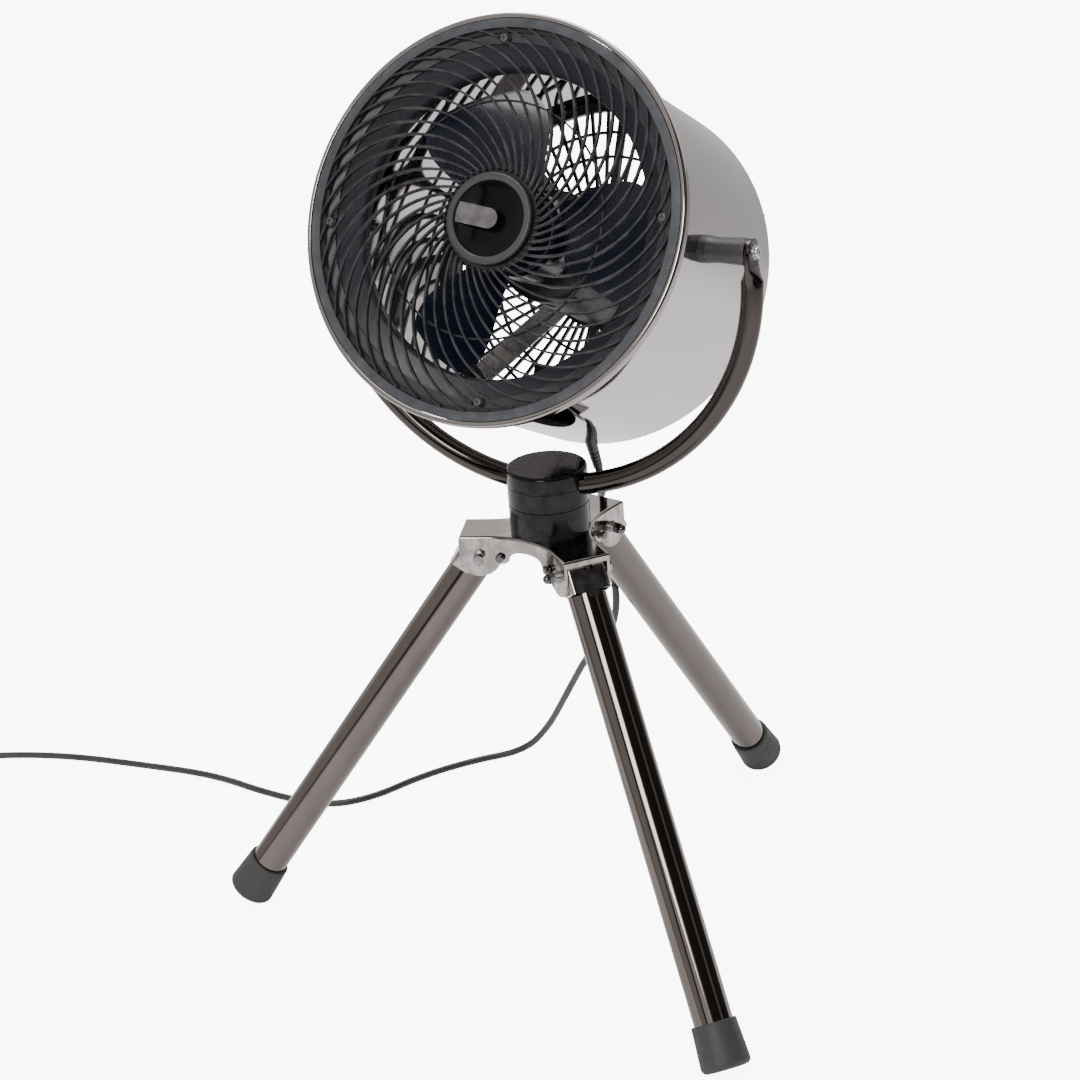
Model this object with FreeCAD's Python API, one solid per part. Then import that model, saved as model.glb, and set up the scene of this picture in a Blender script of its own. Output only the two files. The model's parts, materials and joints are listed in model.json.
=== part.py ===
"""Drum fan on a folding tripod: one STEP file for each separate piece, in millimetres.

Row frame: +Z up, the floor at Z = 0, the front leg along -Y. The stand's own axis is vertical.
The pieces are built about that axis, and the whole object is moved at the end so that the
origin is under the middle of its bounding box, with the free cord left out.
"""

import FreeCAD, Part
import math
import os

V = FreeCAD.Vector
X = V(1, 0, 0)
Y = V(0, 1, 0)
Z = V(0, 0, 1)
ORIGIN = V(0, 0, 0)

# Driving dimensions: stand
LEG_R = 16.0  # radius of the round leg tubes
LEG_WALL = 1.5
LEG_SPREAD = 247.9  # how far a leg's axis runs outwards from hinge to floor
HINGE_R = 58.9  # hinge distance from the stand's axis
HINGE_Z = 345.0
LEG_COUNT = 3
LEG_NAMES = ("front", "right", "left")
PLATE = 2.5  # sheet thickness of the tripod head
BRACKET = 1.2  # sheet thickness of the leg brackets
GAP = 0.3  # play between sliding sheet faces
RIVET_RING = 41.3  # how far the ear rivets sit from the stand's axis
RIVET_R = 2.0
HUB_R = 33.7
HUB_BOTTOM_Z = 363.5
SWIVEL_Z = 388.0  # the plane in which the hub turns
SWIVEL_GAP = 0.8
PIN_R = 4.0  # M8 swivel bolt
BASE_SCREW_RING = 23.0
HUB_SEAM_Z = 405.5  # where the hub's cap meets its shell
HUB_TOP_Z = 419.5

# Driving dimensions: yoke
YOKE_TUBE_R = 9.0
YOKE_WALL = 1.5
YOKE_R = 187.9  # radius of the yoke's half circle, at the tube's centre line
YOKE_BOTTOM_Z = 403.1
PIVOT_Z = 614.3
YOKE_END_T = 5.0  # thickness of the flattened tube ends
YOKE_END_R = 11.0

# Driving dimensions: drum, in the drum's own frame (z forwards along the fan's axis)
PAN = 47.7  # degrees from -Y towards -X, as it stands
TILT = 27.37  # degrees up, as it stands
DRUM_R = 148.0
DRUM_WALL = 1.2
DRUM_REAR = -154.7
DRUM_FLARE = 48.0  # where the flare under the rim starts
FLARE_R = 157.0
RIM_R = 161.4
RIM_FRONT = 73.5
SHROUD_STEP_R = 149.5
SHROUD_SEAT_R = 146.0
SHROUD_MOUTH_R = 121.0
SHROUD_MOUTH_Z = 54.0
SHROUD_T = 2.4
GRILLE_RIBS = 45
RIB_W = 1.7
RIB_T = 3.4
BADGE_R = 36.0
BADGE_DISH_R = 30.0
MID_RING_R = 93.0

# Driving dimensions: motor and impeller, on the fan's axis
SHAFT_R = 4.0
FIT = 0.05  # radial running clearance of shafts and pins
BLADES = 3
BLADE_PHASE = -2.0  # degrees of the first blade from the fan's own x axis, as it stands
BLADE_TIP_R = 120.0
IMPELLER_HUB_R = 36.0
MOTOR_R = 46.0
MOTOR_FRONT = -34.0
SHAFT_FRONT = 40.0

# Driving dimensions: mains cord
CORD_D = 6.6
BOLT_R = 3.0  # M6
SCREW_R = 2.0  # M4

LEG_LENGTH = math.hypot(LEG_SPREAD, HINGE_Z)
LEG_DIR = V(0, -LEG_SPREAD / LEG_LENGTH, -HINGE_Z / LEG_LENGTH)


# ---- small helpers -------------------------------------------------------------------------


def face_of(points, origin_to_point):
    """A flat face from (a, b) pairs, a 3-point arc where a corner is given as ('arc', mid, end)."""
    edges = []
    start = origin_to_point(*points[0])
    last = start
    for p in points[1:] + [points[0]]:
        if p[0] == "arc":
            mid = origin_to_point(*p[1])
            end = origin_to_point(*p[2])
            edges.append(Part.Arc(last, mid, end).toShape())
            last = end
        else:
            end = origin_to_point(*p)
            if (end - last).Length > 1e-6:
                edges.append(Part.LineSegment(last, end).toShape())
            last = end
    return Part.Face(Part.Wire(edges))


def turned(points):
    """A solid turned about Z from (radius, z) pairs."""
    return face_of(points, lambda r, z: V(r, 0, z)).revolve(ORIGIN, Z, 360)


def ring(r_in, r_out, z_low, z_high):
    return turned([(r_in, z_low), (r_out, z_low), (r_out, z_high), (r_in, z_high)])


def prism(points, z_low, z_high):
    """A flat outline in x and y, raised from z_low to z_high."""
    return face_of(points, lambda x, y: V(x, y, z_low)).extrude(V(0, 0, z_high - z_low))


def rod(start, end, radius):
    run = end - start
    return Part.makeCylinder(radius, run.Length, start, run)


def box_about(centre, size):
    return Part.makeBox(size.x, size.y, size.z, centre - size * 0.5)


def hexagon(flats, height, base, axis):
    """A hexagonal prism from its base point along an axis."""
    r = flats / math.sqrt(3)
    points = [V(r * math.cos(i * math.pi / 3), r * math.sin(i * math.pi / 3), 0) for i in range(7)]
    solid = Part.Face(Part.makePolygon(points)).extrude(V(0, 0, height))
    solid.Placement = FreeCAD.Placement(base, FreeCAD.Rotation(Z, axis))
    return solid


def screw(head, tip, radius, head_r, head_h):
    """A pan-head screw: head is the point under the head, and tip is the shank's end."""
    axis = (tip - head).normalize()
    shank = rod(head, tip, radius)
    cap = rod(head - axis * head_h, head, head_r)
    cap = rounded(cap, head_h * 0.45, lambda e: (e.CenterOfMass - (head - axis * head_h)).Length < 0.1)
    slot_a = box_about(ORIGIN, V(head_r * 1.1, head_r * 0.28, head_h))
    slot_b = box_about(ORIGIN, V(head_r * 0.28, head_r * 1.1, head_h))
    cross = slot_a.fuse(slot_b)
    cross.Placement = FreeCAD.Placement(head - axis * head_h, FreeCAD.Rotation(Z, axis))
    return shank.fuse(cap).cut(cross).removeSplitter()


def rounded(solid, radius, wanted):
    """Rounds those edges of a solid for which wanted(edge) is true."""
    edges = [e for e in solid.Edges if wanted(e)]
    return solid.makeFillet(radius, edges)


def around(shape, degrees, centre=ORIGIN, axis=Z):
    copy = shape.copy()
    copy.rotate(centre, axis, degrees)
    return copy


def repeated(shape, count, offset=0.0):
    """Copies of a shape, evenly spaced about Z."""
    return [around(shape, offset + i * 360.0 / count) for i in range(count)]


def joined(shapes):
    return shapes[0].fuse(shapes[1:]).removeSplitter()


def group(shapes):
    return Part.makeCompound(shapes)


def columns(x_axis, y_axis, z_axis, origin):
    """The placement that takes a local frame to the stand's frame."""
    return FreeCAD.Placement(FreeCAD.Matrix(
        x_axis.x, y_axis.x, z_axis.x, origin.x,
        x_axis.y, y_axis.y, z_axis.y, origin.y,
        x_axis.z, y_axis.z, z_axis.z, origin.z,
        0, 0, 0, 1))


def polar(radius, degrees, z=0.0):
    a = math.radians(degrees)
    return V(radius * math.cos(a), radius * math.sin(a), z)


# The yoke turns about the stand's axis, and the drum turns about the yoke's pivots.
PAN_RAD = math.radians(PAN)
TILT_RAD = math.radians(TILT)
SIDE = V(math.cos(PAN_RAD), -math.sin(PAN_RAD), 0)
LEVEL_FORWARD = V(-math.sin(PAN_RAD), -math.cos(PAN_RAD), 0)
FORWARD = LEVEL_FORWARD * math.cos(TILT_RAD) + Z * math.sin(TILT_RAD)
DRUM_UP = FORWARD.cross(SIDE)
PIVOT = V(0, 0, PIVOT_Z)
DRUM_FRAME = columns(SIDE, DRUM_UP, FORWARD, PIVOT)
YOKE_FRAME = columns(SIDE, Z, LEVEL_FORWARD, PIVOT)


def in_frame(shape, frame):
    moved = shape.copy()
    moved.Placement = frame.multiply(moved.Placement)
    return moved


# ---- stand: tripod head, hub base and fasteners ---------------------------------------------

EAR_HALF = LEG_R + BRACKET + GAP + PLATE  # half the width across an arm
ARM_END = 75.5
WEB_R = 72.0  # radius of the hollow edge between two arms
EAR_R = 17.0


def head_outline(inset):
    """The three-armed outline of the tripod head, moved inwards by inset."""
    half = EAR_HALF - inset
    end = ARM_END - inset
    bend = WEB_R + inset
    far = (EAR_HALF + WEB_R) / math.sin(math.radians(60))
    along = far * math.cos(math.radians(60))
    corners = []
    for i in range(LEG_COUNT):
        turn = FreeCAD.Rotation(Z, i * 120.0)
        arm = turn.multVec(V(0, -1, 0))
        side = turn.multVec(V(1, 0, 0))
        middle = (arm * math.cos(math.radians(60)) + side * math.sin(math.radians(60)))
        corners.append((arm * end - side * half, arm * end + side * half,
                        arm * along + side * half, middle * (far - bend)))
    edges = []
    for i, (left, right, tangent, hollow) in enumerate(corners):
        turn = FreeCAD.Rotation(Z, ((i + 1) % LEG_COUNT) * 120.0)
        arm = turn.multVec(V(0, -1, 0))
        side = turn.multVec(V(1, 0, 0))
        next_tangent = arm * along - side * half
        next_left = corners[(i + 1) % LEG_COUNT][0]
        edges.append(Part.LineSegment(left, right).toShape())
        edges.append(Part.LineSegment(right, tangent).toShape())
        edges.append(Part.Arc(tangent, hollow, next_tangent).toShape())
        edges.append(Part.LineSegment(next_tangent, next_left).toShape())
    return Part.Face(Part.Wire(edges))


def tripod_head():
    """Pressed steel head: a three-armed top with a skirt that forms two ears at each arm."""
    drop = HUB_BOTTOM_Z - HINGE_Z + EAR_R + 1
    outer = head_outline(0.0)
    outer.translate(V(0, 0, HUB_BOTTOM_Z - drop))
    body = outer.extrude(V(0, 0, drop))
    top_edges = [e for e in body.Edges if abs(e.BoundBox.ZMin - HUB_BOTTOM_Z) < 0.01]
    body = body.makeFillet(2.0, top_edges)
    inner = head_outline(PLATE)
    inner.translate(V(0, 0, HUB_BOTTOM_Z - drop - 1))
    body = body.cut(inner.extrude(V(0, 0, drop + 1 - PLATE)))
    ear_r = math.hypot(HINGE_R, EAR_HALF)
    rivet_r = math.hypot(RIVET_RING, EAR_HALF)
    skirt_z = HUB_BOTTOM_Z - 12.0
    small_r = 6.0
    low = EAR_R * math.sin(math.pi / 4)
    small = small_r * math.sin(math.pi / 4)
    keep = turned([(0, HUB_BOTTOM_Z + 1), (0, skirt_z), (32.0, skirt_z),
                   ("arc", (37.4, skirt_z - 1.9), (rivet_r - small_r, HINGE_Z)),
                   ("arc", (rivet_r - small, HINGE_Z - small), (rivet_r, HINGE_Z - small_r)),
                   (ear_r - low, HINGE_Z - low),
                   ("arc", (ear_r, HINGE_Z - EAR_R), (ear_r + EAR_R, HINGE_Z)),
                   (ear_r + EAR_R, HUB_BOTTOM_Z + 1)])
    body = body.common(keep)
    mouth_half = EAR_HALF - PLATE
    for i in range(LEG_COUNT):
        mouth = Part.makeBox(2 * mouth_half, 30, drop, V(-mouth_half, -ARM_END - 20, HUB_BOTTOM_Z - 6.0 - drop))
        hinge = rod(V(-40, -HINGE_R, HINGE_Z), V(40, -HINGE_R, HINGE_Z), BOLT_R + 0.2)
        rivet = rod(V(-40, -RIVET_RING, HINGE_Z), V(40, -RIVET_RING, HINGE_Z), RIVET_R)
        for tool in (mouth, hinge, rivet):
            body = body.cut(around(tool, i * 120.0))
    body = body.cut(rod(V(0, 0, HUB_BOTTOM_Z - 10), V(0, 0, HUB_BOTTOM_Z + 2), PIN_R + FIT))
    for hole in base_screw_points(HUB_BOTTOM_Z):
        body = body.cut(rod(hole - Z * 10, hole + Z * 2, SCREW_R + 0.2))
    return body.removeSplitter()


def base_screw_points(z):
    return [polar(BASE_SCREW_RING, 30 + 120 * i, z) for i in range(3)]


def hub_base():
    """The fixed lower part of the hub, a hollow moulding with a sleeve for the swivel bolt."""
    shell = ring(HUB_R - 3, HUB_R, HUB_BOTTOM_Z, SWIVEL_Z)
    lid = ring(PIN_R + FIT + 3, HUB_R - 3, SWIVEL_Z - 3, SWIVEL_Z)
    sleeve = ring(PIN_R + FIT, PIN_R + 4, HUB_BOTTOM_Z, SWIVEL_Z)
    posts = [rod(p, p + Z * (SWIVEL_Z - HUB_BOTTOM_Z - 3), 4.5) for p in base_screw_points(HUB_BOTTOM_Z)]
    body = joined([shell, lid, sleeve] + posts)
    for p in base_screw_points(HUB_BOTTOM_Z):
        body = body.cut(rod(p - Z, p + Z * 12.1, SCREW_R))
    return body


def base_screws():
    under = HUB_BOTTOM_Z - PLATE
    return group([screw(p, p + Z * (PLATE + 12), SCREW_R, 3.8, 2.6) for p in base_screw_points(under)])


def friction_washer():
    """The thin ring between the turning and the fixed part of the hub."""
    return ring(12.0, 30.0, SWIVEL_Z, SWIVEL_Z + SWIVEL_GAP - 0.1)


def hinge_line(offset, radius):
    """Both ends of a bolt's line across an arm, at a radius from the stand's axis."""
    return V(-offset, -radius, HINGE_Z), V(offset, -radius, HINGE_Z)


def dome_nut(base, axis):
    """A hexagon nut with a domed cap."""
    foot = hexagon(8.6, 4.4, base, axis)
    neck = rod(base, base + axis * 5.6, 4.0)
    dome = Part.makeSphere(4.0, base + axis * 5.6)
    return joined([foot, neck, dome])


def hinge_bolts():
    bolts = []
    for i in range(LEG_COUNT):
        left, right = hinge_line(EAR_HALF + 3.2, HINGE_R)
        head = hexagon(8.6, 3.6, right, X)
        shank = rod(left - X * 3.5, right, BOLT_R)
        bolts.append(around(joined([shank, head]), i * 120.0))
    return group(bolts)


def hinge_nuts():
    nuts = []
    for i in range(LEG_COUNT):
        left, right = hinge_line(EAR_HALF + 3.2, HINGE_R)
        bore = rod(left + X, left - X * 3.6, BOLT_R)
        nuts.append(around(dome_nut(left, -X).cut(bore), i * 120.0))
    return group(nuts)


def hinge_washers():
    """A plain washer and a spring washer under each head, and the same under each nut."""
    rings = []
    for i in range(LEG_COUNT):
        for sign in (-1, 1):
            face = V(sign * EAR_HALF, -HINGE_R, HINGE_Z)
            for start, thick, radius in ((0.0, 1.6, 5.5), (1.6, 1.6, 4.7)):
                a = face + X * sign * start
                b = face + X * sign * (start + thick)
                rings.append(around(rod(a, b, radius).cut(rod(a, b, BOLT_R)), i * 120.0))
    return group(rings)


def ear_rivets():
    """A short round-headed rivet through each ear, inwards of its hinge."""
    rivets = []
    for i in range(LEG_COUNT):
        for sign in (-1, 1):
            inner = V(sign * (EAR_HALF - PLATE), -RIVET_RING, HINGE_Z)
            outer = V(sign * (EAR_HALF + 2.6), -RIVET_RING, HINGE_Z)
            head = rounded(rod(outer, outer + X * sign * 2.4, 3.6), 1.1,
                           lambda e: abs(abs(e.CenterOfMass.x) - abs(outer.x) - 2.4) < 0.01)
            rivets.append(around(joined([rod(inner, outer, RIVET_R), head]), i * 120.0))
    return group(rivets)


# ---- legs: tube, bracket and foot -----------------------------------------------------------

LEG_TOP = -6.0  # where a tube starts, along the leg from its hinge
FOOT_R = 20.5
FOOT_ROUND = 5.0
FOOT_LENGTH = 38.0
FOOT_FLAT = 1.0  # how much of a foot's rounding is worn down to a flat on the floor


def leg_frame(i):
    """Local z runs down the leg from its hinge, x across the arm and y out of the leg's front."""
    across = FreeCAD.Rotation(Z, i * 120.0).multVec(X)
    down = FreeCAD.Rotation(Z, i * 120.0).multVec(LEG_DIR)
    return columns(across, down.cross(across), down, FreeCAD.Rotation(Z, i * 120.0).multVec(V(0, -HINGE_R, HINGE_Z)))


def foot_round_end():
    """Where the centre of a foot's rounding is, down the leg from its hinge."""
    down = HINGE_Z / LEG_LENGTH
    out = LEG_SPREAD / LEG_LENGTH
    return (HINGE_Z - out * (FOOT_R - FOOT_ROUND) - FOOT_ROUND + FOOT_FLAT) / down


def leg_tube():
    length = foot_round_end() + FOOT_ROUND - 12.0 - LEG_TOP
    tube = Part.makeCylinder(LEG_R, length, V(0, 0, LEG_TOP))
    tube = tube.cut(Part.makeCylinder(LEG_R - LEG_WALL, length, V(0, 0, LEG_TOP)))
    return tube.cut(rod(V(-30, 0, 0), V(30, 0, 0), BOLT_R + FIT))


def leg_bracket():
    """A folded sheet that wraps the top of the tube and carries the hinge bolt."""
    half = LEG_R + BRACKET
    back = -13.0
    low = 20.0
    top = -6.4
    outline = [(back, top + 6), ("arc", (back + 1.8, top + 1.8), (back + 6, top)), (half, top), (half, low),
               (back + 14, low), ("arc", (back + 3.5, low - 9.0), (back, low - 17))]
    outer = face_of(outline, lambda y, z: V(-half, y, z)).extrude(V(2 * half, 0, 0))
    outer = rounded(outer, 3.0, lambda e: abs(e.BoundBox.YMin - half) < 0.01 and e.BoundBox.ZLength > 20)
    inner = box_about(V(0, LEG_R / 2 - 10, 5), V(2 * LEG_R, LEG_R + 20, 80))
    inner = rounded(inner, 1.9, lambda e: abs(e.BoundBox.YMin - LEG_R) < 0.01 and e.BoundBox.ZLength > 20)
    body = outer.cut(inner)
    body = body.cut(box_about(V(1.5, half, top + 4.5), V(8.0, 8.0, 9.2)))
    lug = rounded(box_about(V(1.0, half - BRACKET / 2, low + 2.0), V(9.0, BRACKET, 6.0)), 1.8,
                  lambda e: e.BoundBox.YLength > BRACKET / 2 and e.CenterOfMass.z > low + 3)
    return joined([body, lug]).cut(rod(V(-30, 0, 0), V(30, 0, 0), BOLT_R + FIT))


def leg_foot():
    """The moulded rubber cap, a little wider towards its rounded end."""
    centre = foot_round_end()
    end = centre + FOOT_ROUND
    top = end - FOOT_LENGTH
    r_top = LEG_R + 2.6
    diagonal = FOOT_ROUND * math.sin(math.pi / 4)
    inner_r = FOOT_R - FOOT_ROUND
    cap = turned([(0, top), (r_top - 0.8, top), ("arc", (r_top - 0.2, top + 0.3), (r_top, top + 1.0)),
                  (FOOT_R, centre), ("arc", (inner_r + diagonal, centre + diagonal), (inner_r, end)), (0, end)])
    return cap.cut(Part.makeCylinder(LEG_R, FOOT_LENGTH - 12.0, V(0, 0, top)))


def standing_leg(shape, i):
    """A leg's piece in its place, with nothing of it under the floor."""
    placed = in_frame(shape, leg_frame(i))
    return placed.cut(Part.makeBox(900, 900, 50, V(-450, -450, -50)))


# ---- hub and yoke ---------------------------------------------------------------------------


def yoke_tube():
    """One bent tube whose ends are pressed flat and rounded."""
    centre_y = YOKE_BOTTOM_Z + YOKE_R - PIVOT_Z
    start = V(-YOKE_R, centre_y, 0)
    outside = Part.Face(Part.Wire(Part.Circle(start, Y, YOKE_TUBE_R).toShape()))
    inside = Part.Face(Part.Wire(Part.Circle(start, Y, YOKE_TUBE_R - YOKE_WALL).toShape()))
    bow = outside.cut(inside).revolve(V(0, centre_y, 0), Z, 180)
    body = joined([bow] + [yoke_end(sign, centre_y) for sign in (-1, 1)])
    return body.cut(rod(V(0, centre_y - YOKE_R - 20, 0), V(0, centre_y - YOKE_R + 20, 0), PIN_R + FIT))


def yoke_end(sign, round_y):
    """From the round tube up to a flat, rounded tongue with the pivot's hole."""
    x = sign * YOKE_R
    flat_y = -12.0
    half_z = YOKE_END_R - 0.2

    def section(y, half_x, long_z):
        oval = Part.Circle(ORIGIN, Z, half_x).toShape()
        if long_z > half_x:
            oval = Part.Ellipse(ORIGIN, long_z, half_x).toShape()
        oval.rotate(ORIGIN, Z, 90)
        oval.rotate(ORIGIN, X, 90)
        oval.translate(V(x, y, 0))
        return Part.Wire(oval)

    neck = Part.makeLoft([section(round_y, YOKE_TUBE_R, YOKE_TUBE_R),
                          section(flat_y, YOKE_END_T / 2, half_z)], True)
    half_t = YOKE_END_T / 2
    tongue = rod(V(x - half_t, 0, 0), V(x + half_t, 0, 0), YOKE_END_R)
    web = box_about(V(x, flat_y / 2 - 1, 0), V(YOKE_END_T, -flat_y + 6, 2 * half_z - 0.4))
    body = joined([neck, tongue, web])
    return body.cut(rod(V(x - 20, 0, 0), V(x + 20, 0, 0), BOLT_R + FIT))


def hub_bow():
    """The space that the yoke's tube and the swivel bolt take up inside the hub."""
    centre_y = YOKE_BOTTOM_Z + YOKE_R - PIVOT_Z
    start = V(-YOKE_R, centre_y, 0)
    section = Part.Face(Part.Wire(Part.Circle(start, Y, YOKE_TUBE_R).toShape()))
    bow = section.revolve(V(0, centre_y, 0), Z, 180)
    return in_frame(joined([bow, rod(V(0, -260, 0), V(0, -201, 0), PIN_R + FIT)]), YOKE_FRAME)


CLAMP_POSTS = [polar(BASE_SCREW_RING, 45 + 90 * i) for i in range(4)]


def hub_half(z_low, z_high, pocket_low, pocket_high):
    """One half of the turning hub: a wall, four posts and a saddle that grips the yoke's tube."""
    body = ring(0, HUB_R, z_low, z_high)
    pocket = ring(0, HUB_R - 3, pocket_low, pocket_high)
    saddle = box_about(V(0, 0, (pocket_low + pocket_high) / 2), V(2 * HUB_R, 24, pocket_high - pocket_low))
    pocket = pocket.cut(around(saddle, -PAN))
    for p in CLAMP_POSTS:
        post = rod(V(p.x, p.y, pocket_low), V(p.x, p.y, pocket_high), 4.5)
        pocket = pocket.cut(around(post, -PAN))
    return body.cut(pocket).cut(hub_bow())


def hub_shell():
    low = SWIVEL_Z + SWIVEL_GAP
    body = hub_half(low, HUB_SEAM_Z, low + 5, HUB_SEAM_Z)
    for p in CLAMP_POSTS:
        line = around(rod(V(p.x, p.y, low - 1), V(p.x, p.y, HUB_SEAM_Z + 1), SCREW_R + 0.2), -PAN)
        recess = around(rod(V(p.x, p.y, low - 1), V(p.x, p.y, low + 3), 4.2), -PAN)
        body = body.cut(line).cut(recess)
    return body


def hub_cap():
    body = hub_half(HUB_SEAM_Z, HUB_TOP_Z, HUB_SEAM_Z, HUB_TOP_Z - 2.7)
    body = body.common(turned([(0, HUB_SEAM_Z), (HUB_R, HUB_SEAM_Z), (HUB_R, HUB_TOP_Z - 2.5),
                               ("arc", (HUB_R - 0.8, HUB_TOP_Z - 0.8), (HUB_R - 2.6, HUB_TOP_Z)),
                               (0, HUB_TOP_Z)]))
    body = body.cut(rod(V(0, 0, HUB_SEAM_Z), V(0, 0, HUB_TOP_Z - 2.7), 9.0))
    for p in CLAMP_POSTS:
        body = body.cut(around(rod(V(p.x, p.y, HUB_SEAM_Z - 1), V(p.x, p.y, HUB_SEAM_Z + 8), SCREW_R), -PAN))
    return body


def clamp_screws():
    low = SWIVEL_Z + SWIVEL_GAP
    return group([around(screw(V(p.x, p.y, low + 3), V(p.x, p.y, HUB_SEAM_Z + 8), SCREW_R, 3.8, 2.4), -PAN)
                  for p in CLAMP_POSTS])


def swivel_bolt():
    """The bolt that the hub turns on, with a low round head on the yoke's tube."""
    under = YOKE_BOTTOM_Z + YOKE_TUBE_R + 0.3
    shank = rod(V(0, 0, under), V(0, 0, HUB_BOTTOM_Z - 22), PIN_R)
    head = turned([(0, under), (8.0, under), ("arc", (5.6, under + 2.9), (1.0, under + 4.0)), (0, under + 4.0)])
    return joined([shank, head])


def swivel_nut():
    """The lock nut and its washer under the tripod head."""
    plate = HUB_BOTTOM_Z - PLATE - 0.1
    nut = hexagon(13.0, 8.0, V(0, 0, plate - 1.6), -Z)
    washer = ring(PIN_R, 8.5, plate - 1.6, plate)
    return group([nut.cut(rod(V(0, 0, plate), V(0, 0, plate - 20), PIN_R)), washer])


def pivot_washers():
    """A washer between each pivot screw's head and the yoke's flat end."""
    rings = []
    for sign in (-1, 1):
        a = V(sign * (YOKE_R + YOKE_END_T / 2), 0, 0)
        b = a + X * sign * 1.5
        rings.append(rod(a, b, 5.8).cut(rod(a, b, BOLT_R + FIT)))
    return group(rings)


# ---- drum -----------------------------------------------------------------------------------

PIVOT_HEAD_X = YOKE_R + YOKE_END_T / 2 + 1.6


def drum_shell():
    """Rolled steel drum: a flare under the front rim and a flange turned in at the rear."""
    outer = DRUM_R
    inner = DRUM_R - DRUM_WALL
    flare_z = 66.0
    lip = 5.0
    body = turned([(outer, DRUM_REAR + 2.0), (outer, DRUM_FLARE),
                   ("arc", (outer + 2.6, DRUM_FLARE + 10.5), (FLARE_R, flare_z)),
                   (FLARE_R - DRUM_WALL, flare_z + 0.6),
                   ("arc", (outer + 1.5, DRUM_FLARE + 11.2), (inner, DRUM_FLARE)),
                   (inner, DRUM_REAR + 2.0), ("arc", (inner - 0.3, DRUM_REAR + 1.4), (inner - 0.9, DRUM_REAR + 1.2)),
                   (outer - lip, DRUM_REAR + 1.2), (outer - lip, DRUM_REAR), (outer - 2.0, DRUM_REAR),
                   ("arc", (outer - 0.6, DRUM_REAR + 0.6), (outer, DRUM_REAR + 2.0))])
    body = body.cut(rod(V(-200, 0, 0), V(200, 0, 0), BOLT_R))
    body = body.cut(rod(GLAND_POINT + Y * 20, GLAND_POINT - Y * 20, GLAND_R))
    for p in rear_screw_points(DRUM_REAR):
        body = body.cut(rod(p - Z, p + Z * 3, SCREW_R))
    return body


def front_rim():
    """The plated bead that closes the drum's front edge, just outside the flare."""
    z = RIM_FRONT
    bore = FLARE_R + 0.2
    return turned([(bore, z - 8.5), (RIM_R - 1.6, z - 9.5), ("arc", (RIM_R - 0.2, z - 8.4), (RIM_R, z - 7.0)),
                   (RIM_R, z - 2.2), ("arc", (RIM_R - 0.8, z - 0.6), (RIM_R - 2.4, z)),
                   (bore + 1.0, z), ("arc", (bore + 0.3, z - 0.3), (bore, z - 1.0))])


def front_shroud():
    """The moulded bezel: a flat outer band, a step for the grille and a funnel down to its mouth."""
    z = RIM_FRONT - 0.5
    seat = z - 4.8
    mouth = SHROUD_MOUTH_R
    bend = SHROUD_MOUTH_Z
    outline = [(156.8, z), (156.8, z - 5.0), (154.0, z - 5.0), (SHROUD_STEP_R + 0.3, seat - SHROUD_T),
               (138.0, seat - SHROUD_T - 1.6), (137.0, seat - SHROUD_T - 4.2), (mouth + 5.0, bend - 1.6),
               ("arc", (mouth + 2.9, bend - 3.6), (mouth + 2.2, bend - 7.0)), (mouth + 2.2, bend - 12.0),
               (mouth, bend - 12.0), (mouth, bend - 6.4),
               ("arc", (mouth + 0.9, bend - 2.2), (mouth + 4.0, bend + 0.8)),
               (138.6, seat - 3.6), (138.6, seat - 1.4), (SHROUD_SEAT_R - 1.0, seat), (SHROUD_STEP_R, seat),
               (SHROUD_STEP_R, z)]
    body = turned(outline)
    for p in grille_screw_points(seat):
        body = body.cut(rod(p + Z, p - Z * 9, SCREW_R))
    return body


def grille_screw_points(z):
    return [polar(141.6, 4 + 90 * i, z) for i in range(4)]


def rib_face(z):
    """One swept-back rib: a band between two arcs about a centre that three radii fix."""
    start = polar(39.0, 0.0)
    middle = polar(99.0, 36.6)
    end = polar(149.0, 70.0)
    curve = Part.Arc(start, middle, end).toShape().Curve
    centre = curve.Center
    a = start - centre
    m = middle - centre
    b = end - centre
    edges = []
    corners = []
    for offset in (-RIB_W / 2, RIB_W / 2):
        scale = (a.Length + offset) / a.Length
        points = [centre + v * scale for v in (a, m, b)]
        corners.append(points)
        edges.append(Part.Arc(*points).toShape())
    edges.append(Part.LineSegment(corners[0][0], corners[1][0]).toShape())
    edges.append(Part.LineSegment(corners[0][2], corners[1][2]).toShape())
    face = Part.Face(Part.Wire(Part.__sortEdges__(edges)))
    face.translate(V(0, 0, z))
    return face


def front_grille():
    """One moulding: swept ribs on an outer ring, a thin middle ring and an inner ring."""
    seat = RIM_FRONT - 2.9
    ribs = repeated(rib_face(seat).extrude(V(0, 0, RIB_T)), GRILLE_RIBS)
    ribs = [rib.common(ring(0, SHROUD_STEP_R - 0.3, seat, seat + RIB_T)) for rib in ribs]
    outer = ring(SHROUD_SEAT_R, SHROUD_STEP_R - 0.3, seat - 2.4, seat)
    middle = ring(MID_RING_R - 0.7, MID_RING_R + 0.7, seat - 2.2, seat)
    lugs = [rod(p - Z * 2.4, p, 4.6) for p in grille_screw_points(seat)]
    inner = ring(BADGE_DISH_R + 1.0, 41.0, seat - 2.4, seat)
    body = joined([outer, middle, inner] + ribs + lugs)
    for p in grille_screw_points(seat):
        body = body.cut(rod(p - Z * 5, p + Z * 5, SCREW_R + 0.2))
        body = body.cut(rod(p, p + Z * 5, 4.0))
    return body


def grille_screws():
    seat = RIM_FRONT - 2.9
    return group([screw(p, p - Z * 8, SCREW_R, 3.4, 2.2) for p in grille_screw_points(seat)])


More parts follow.
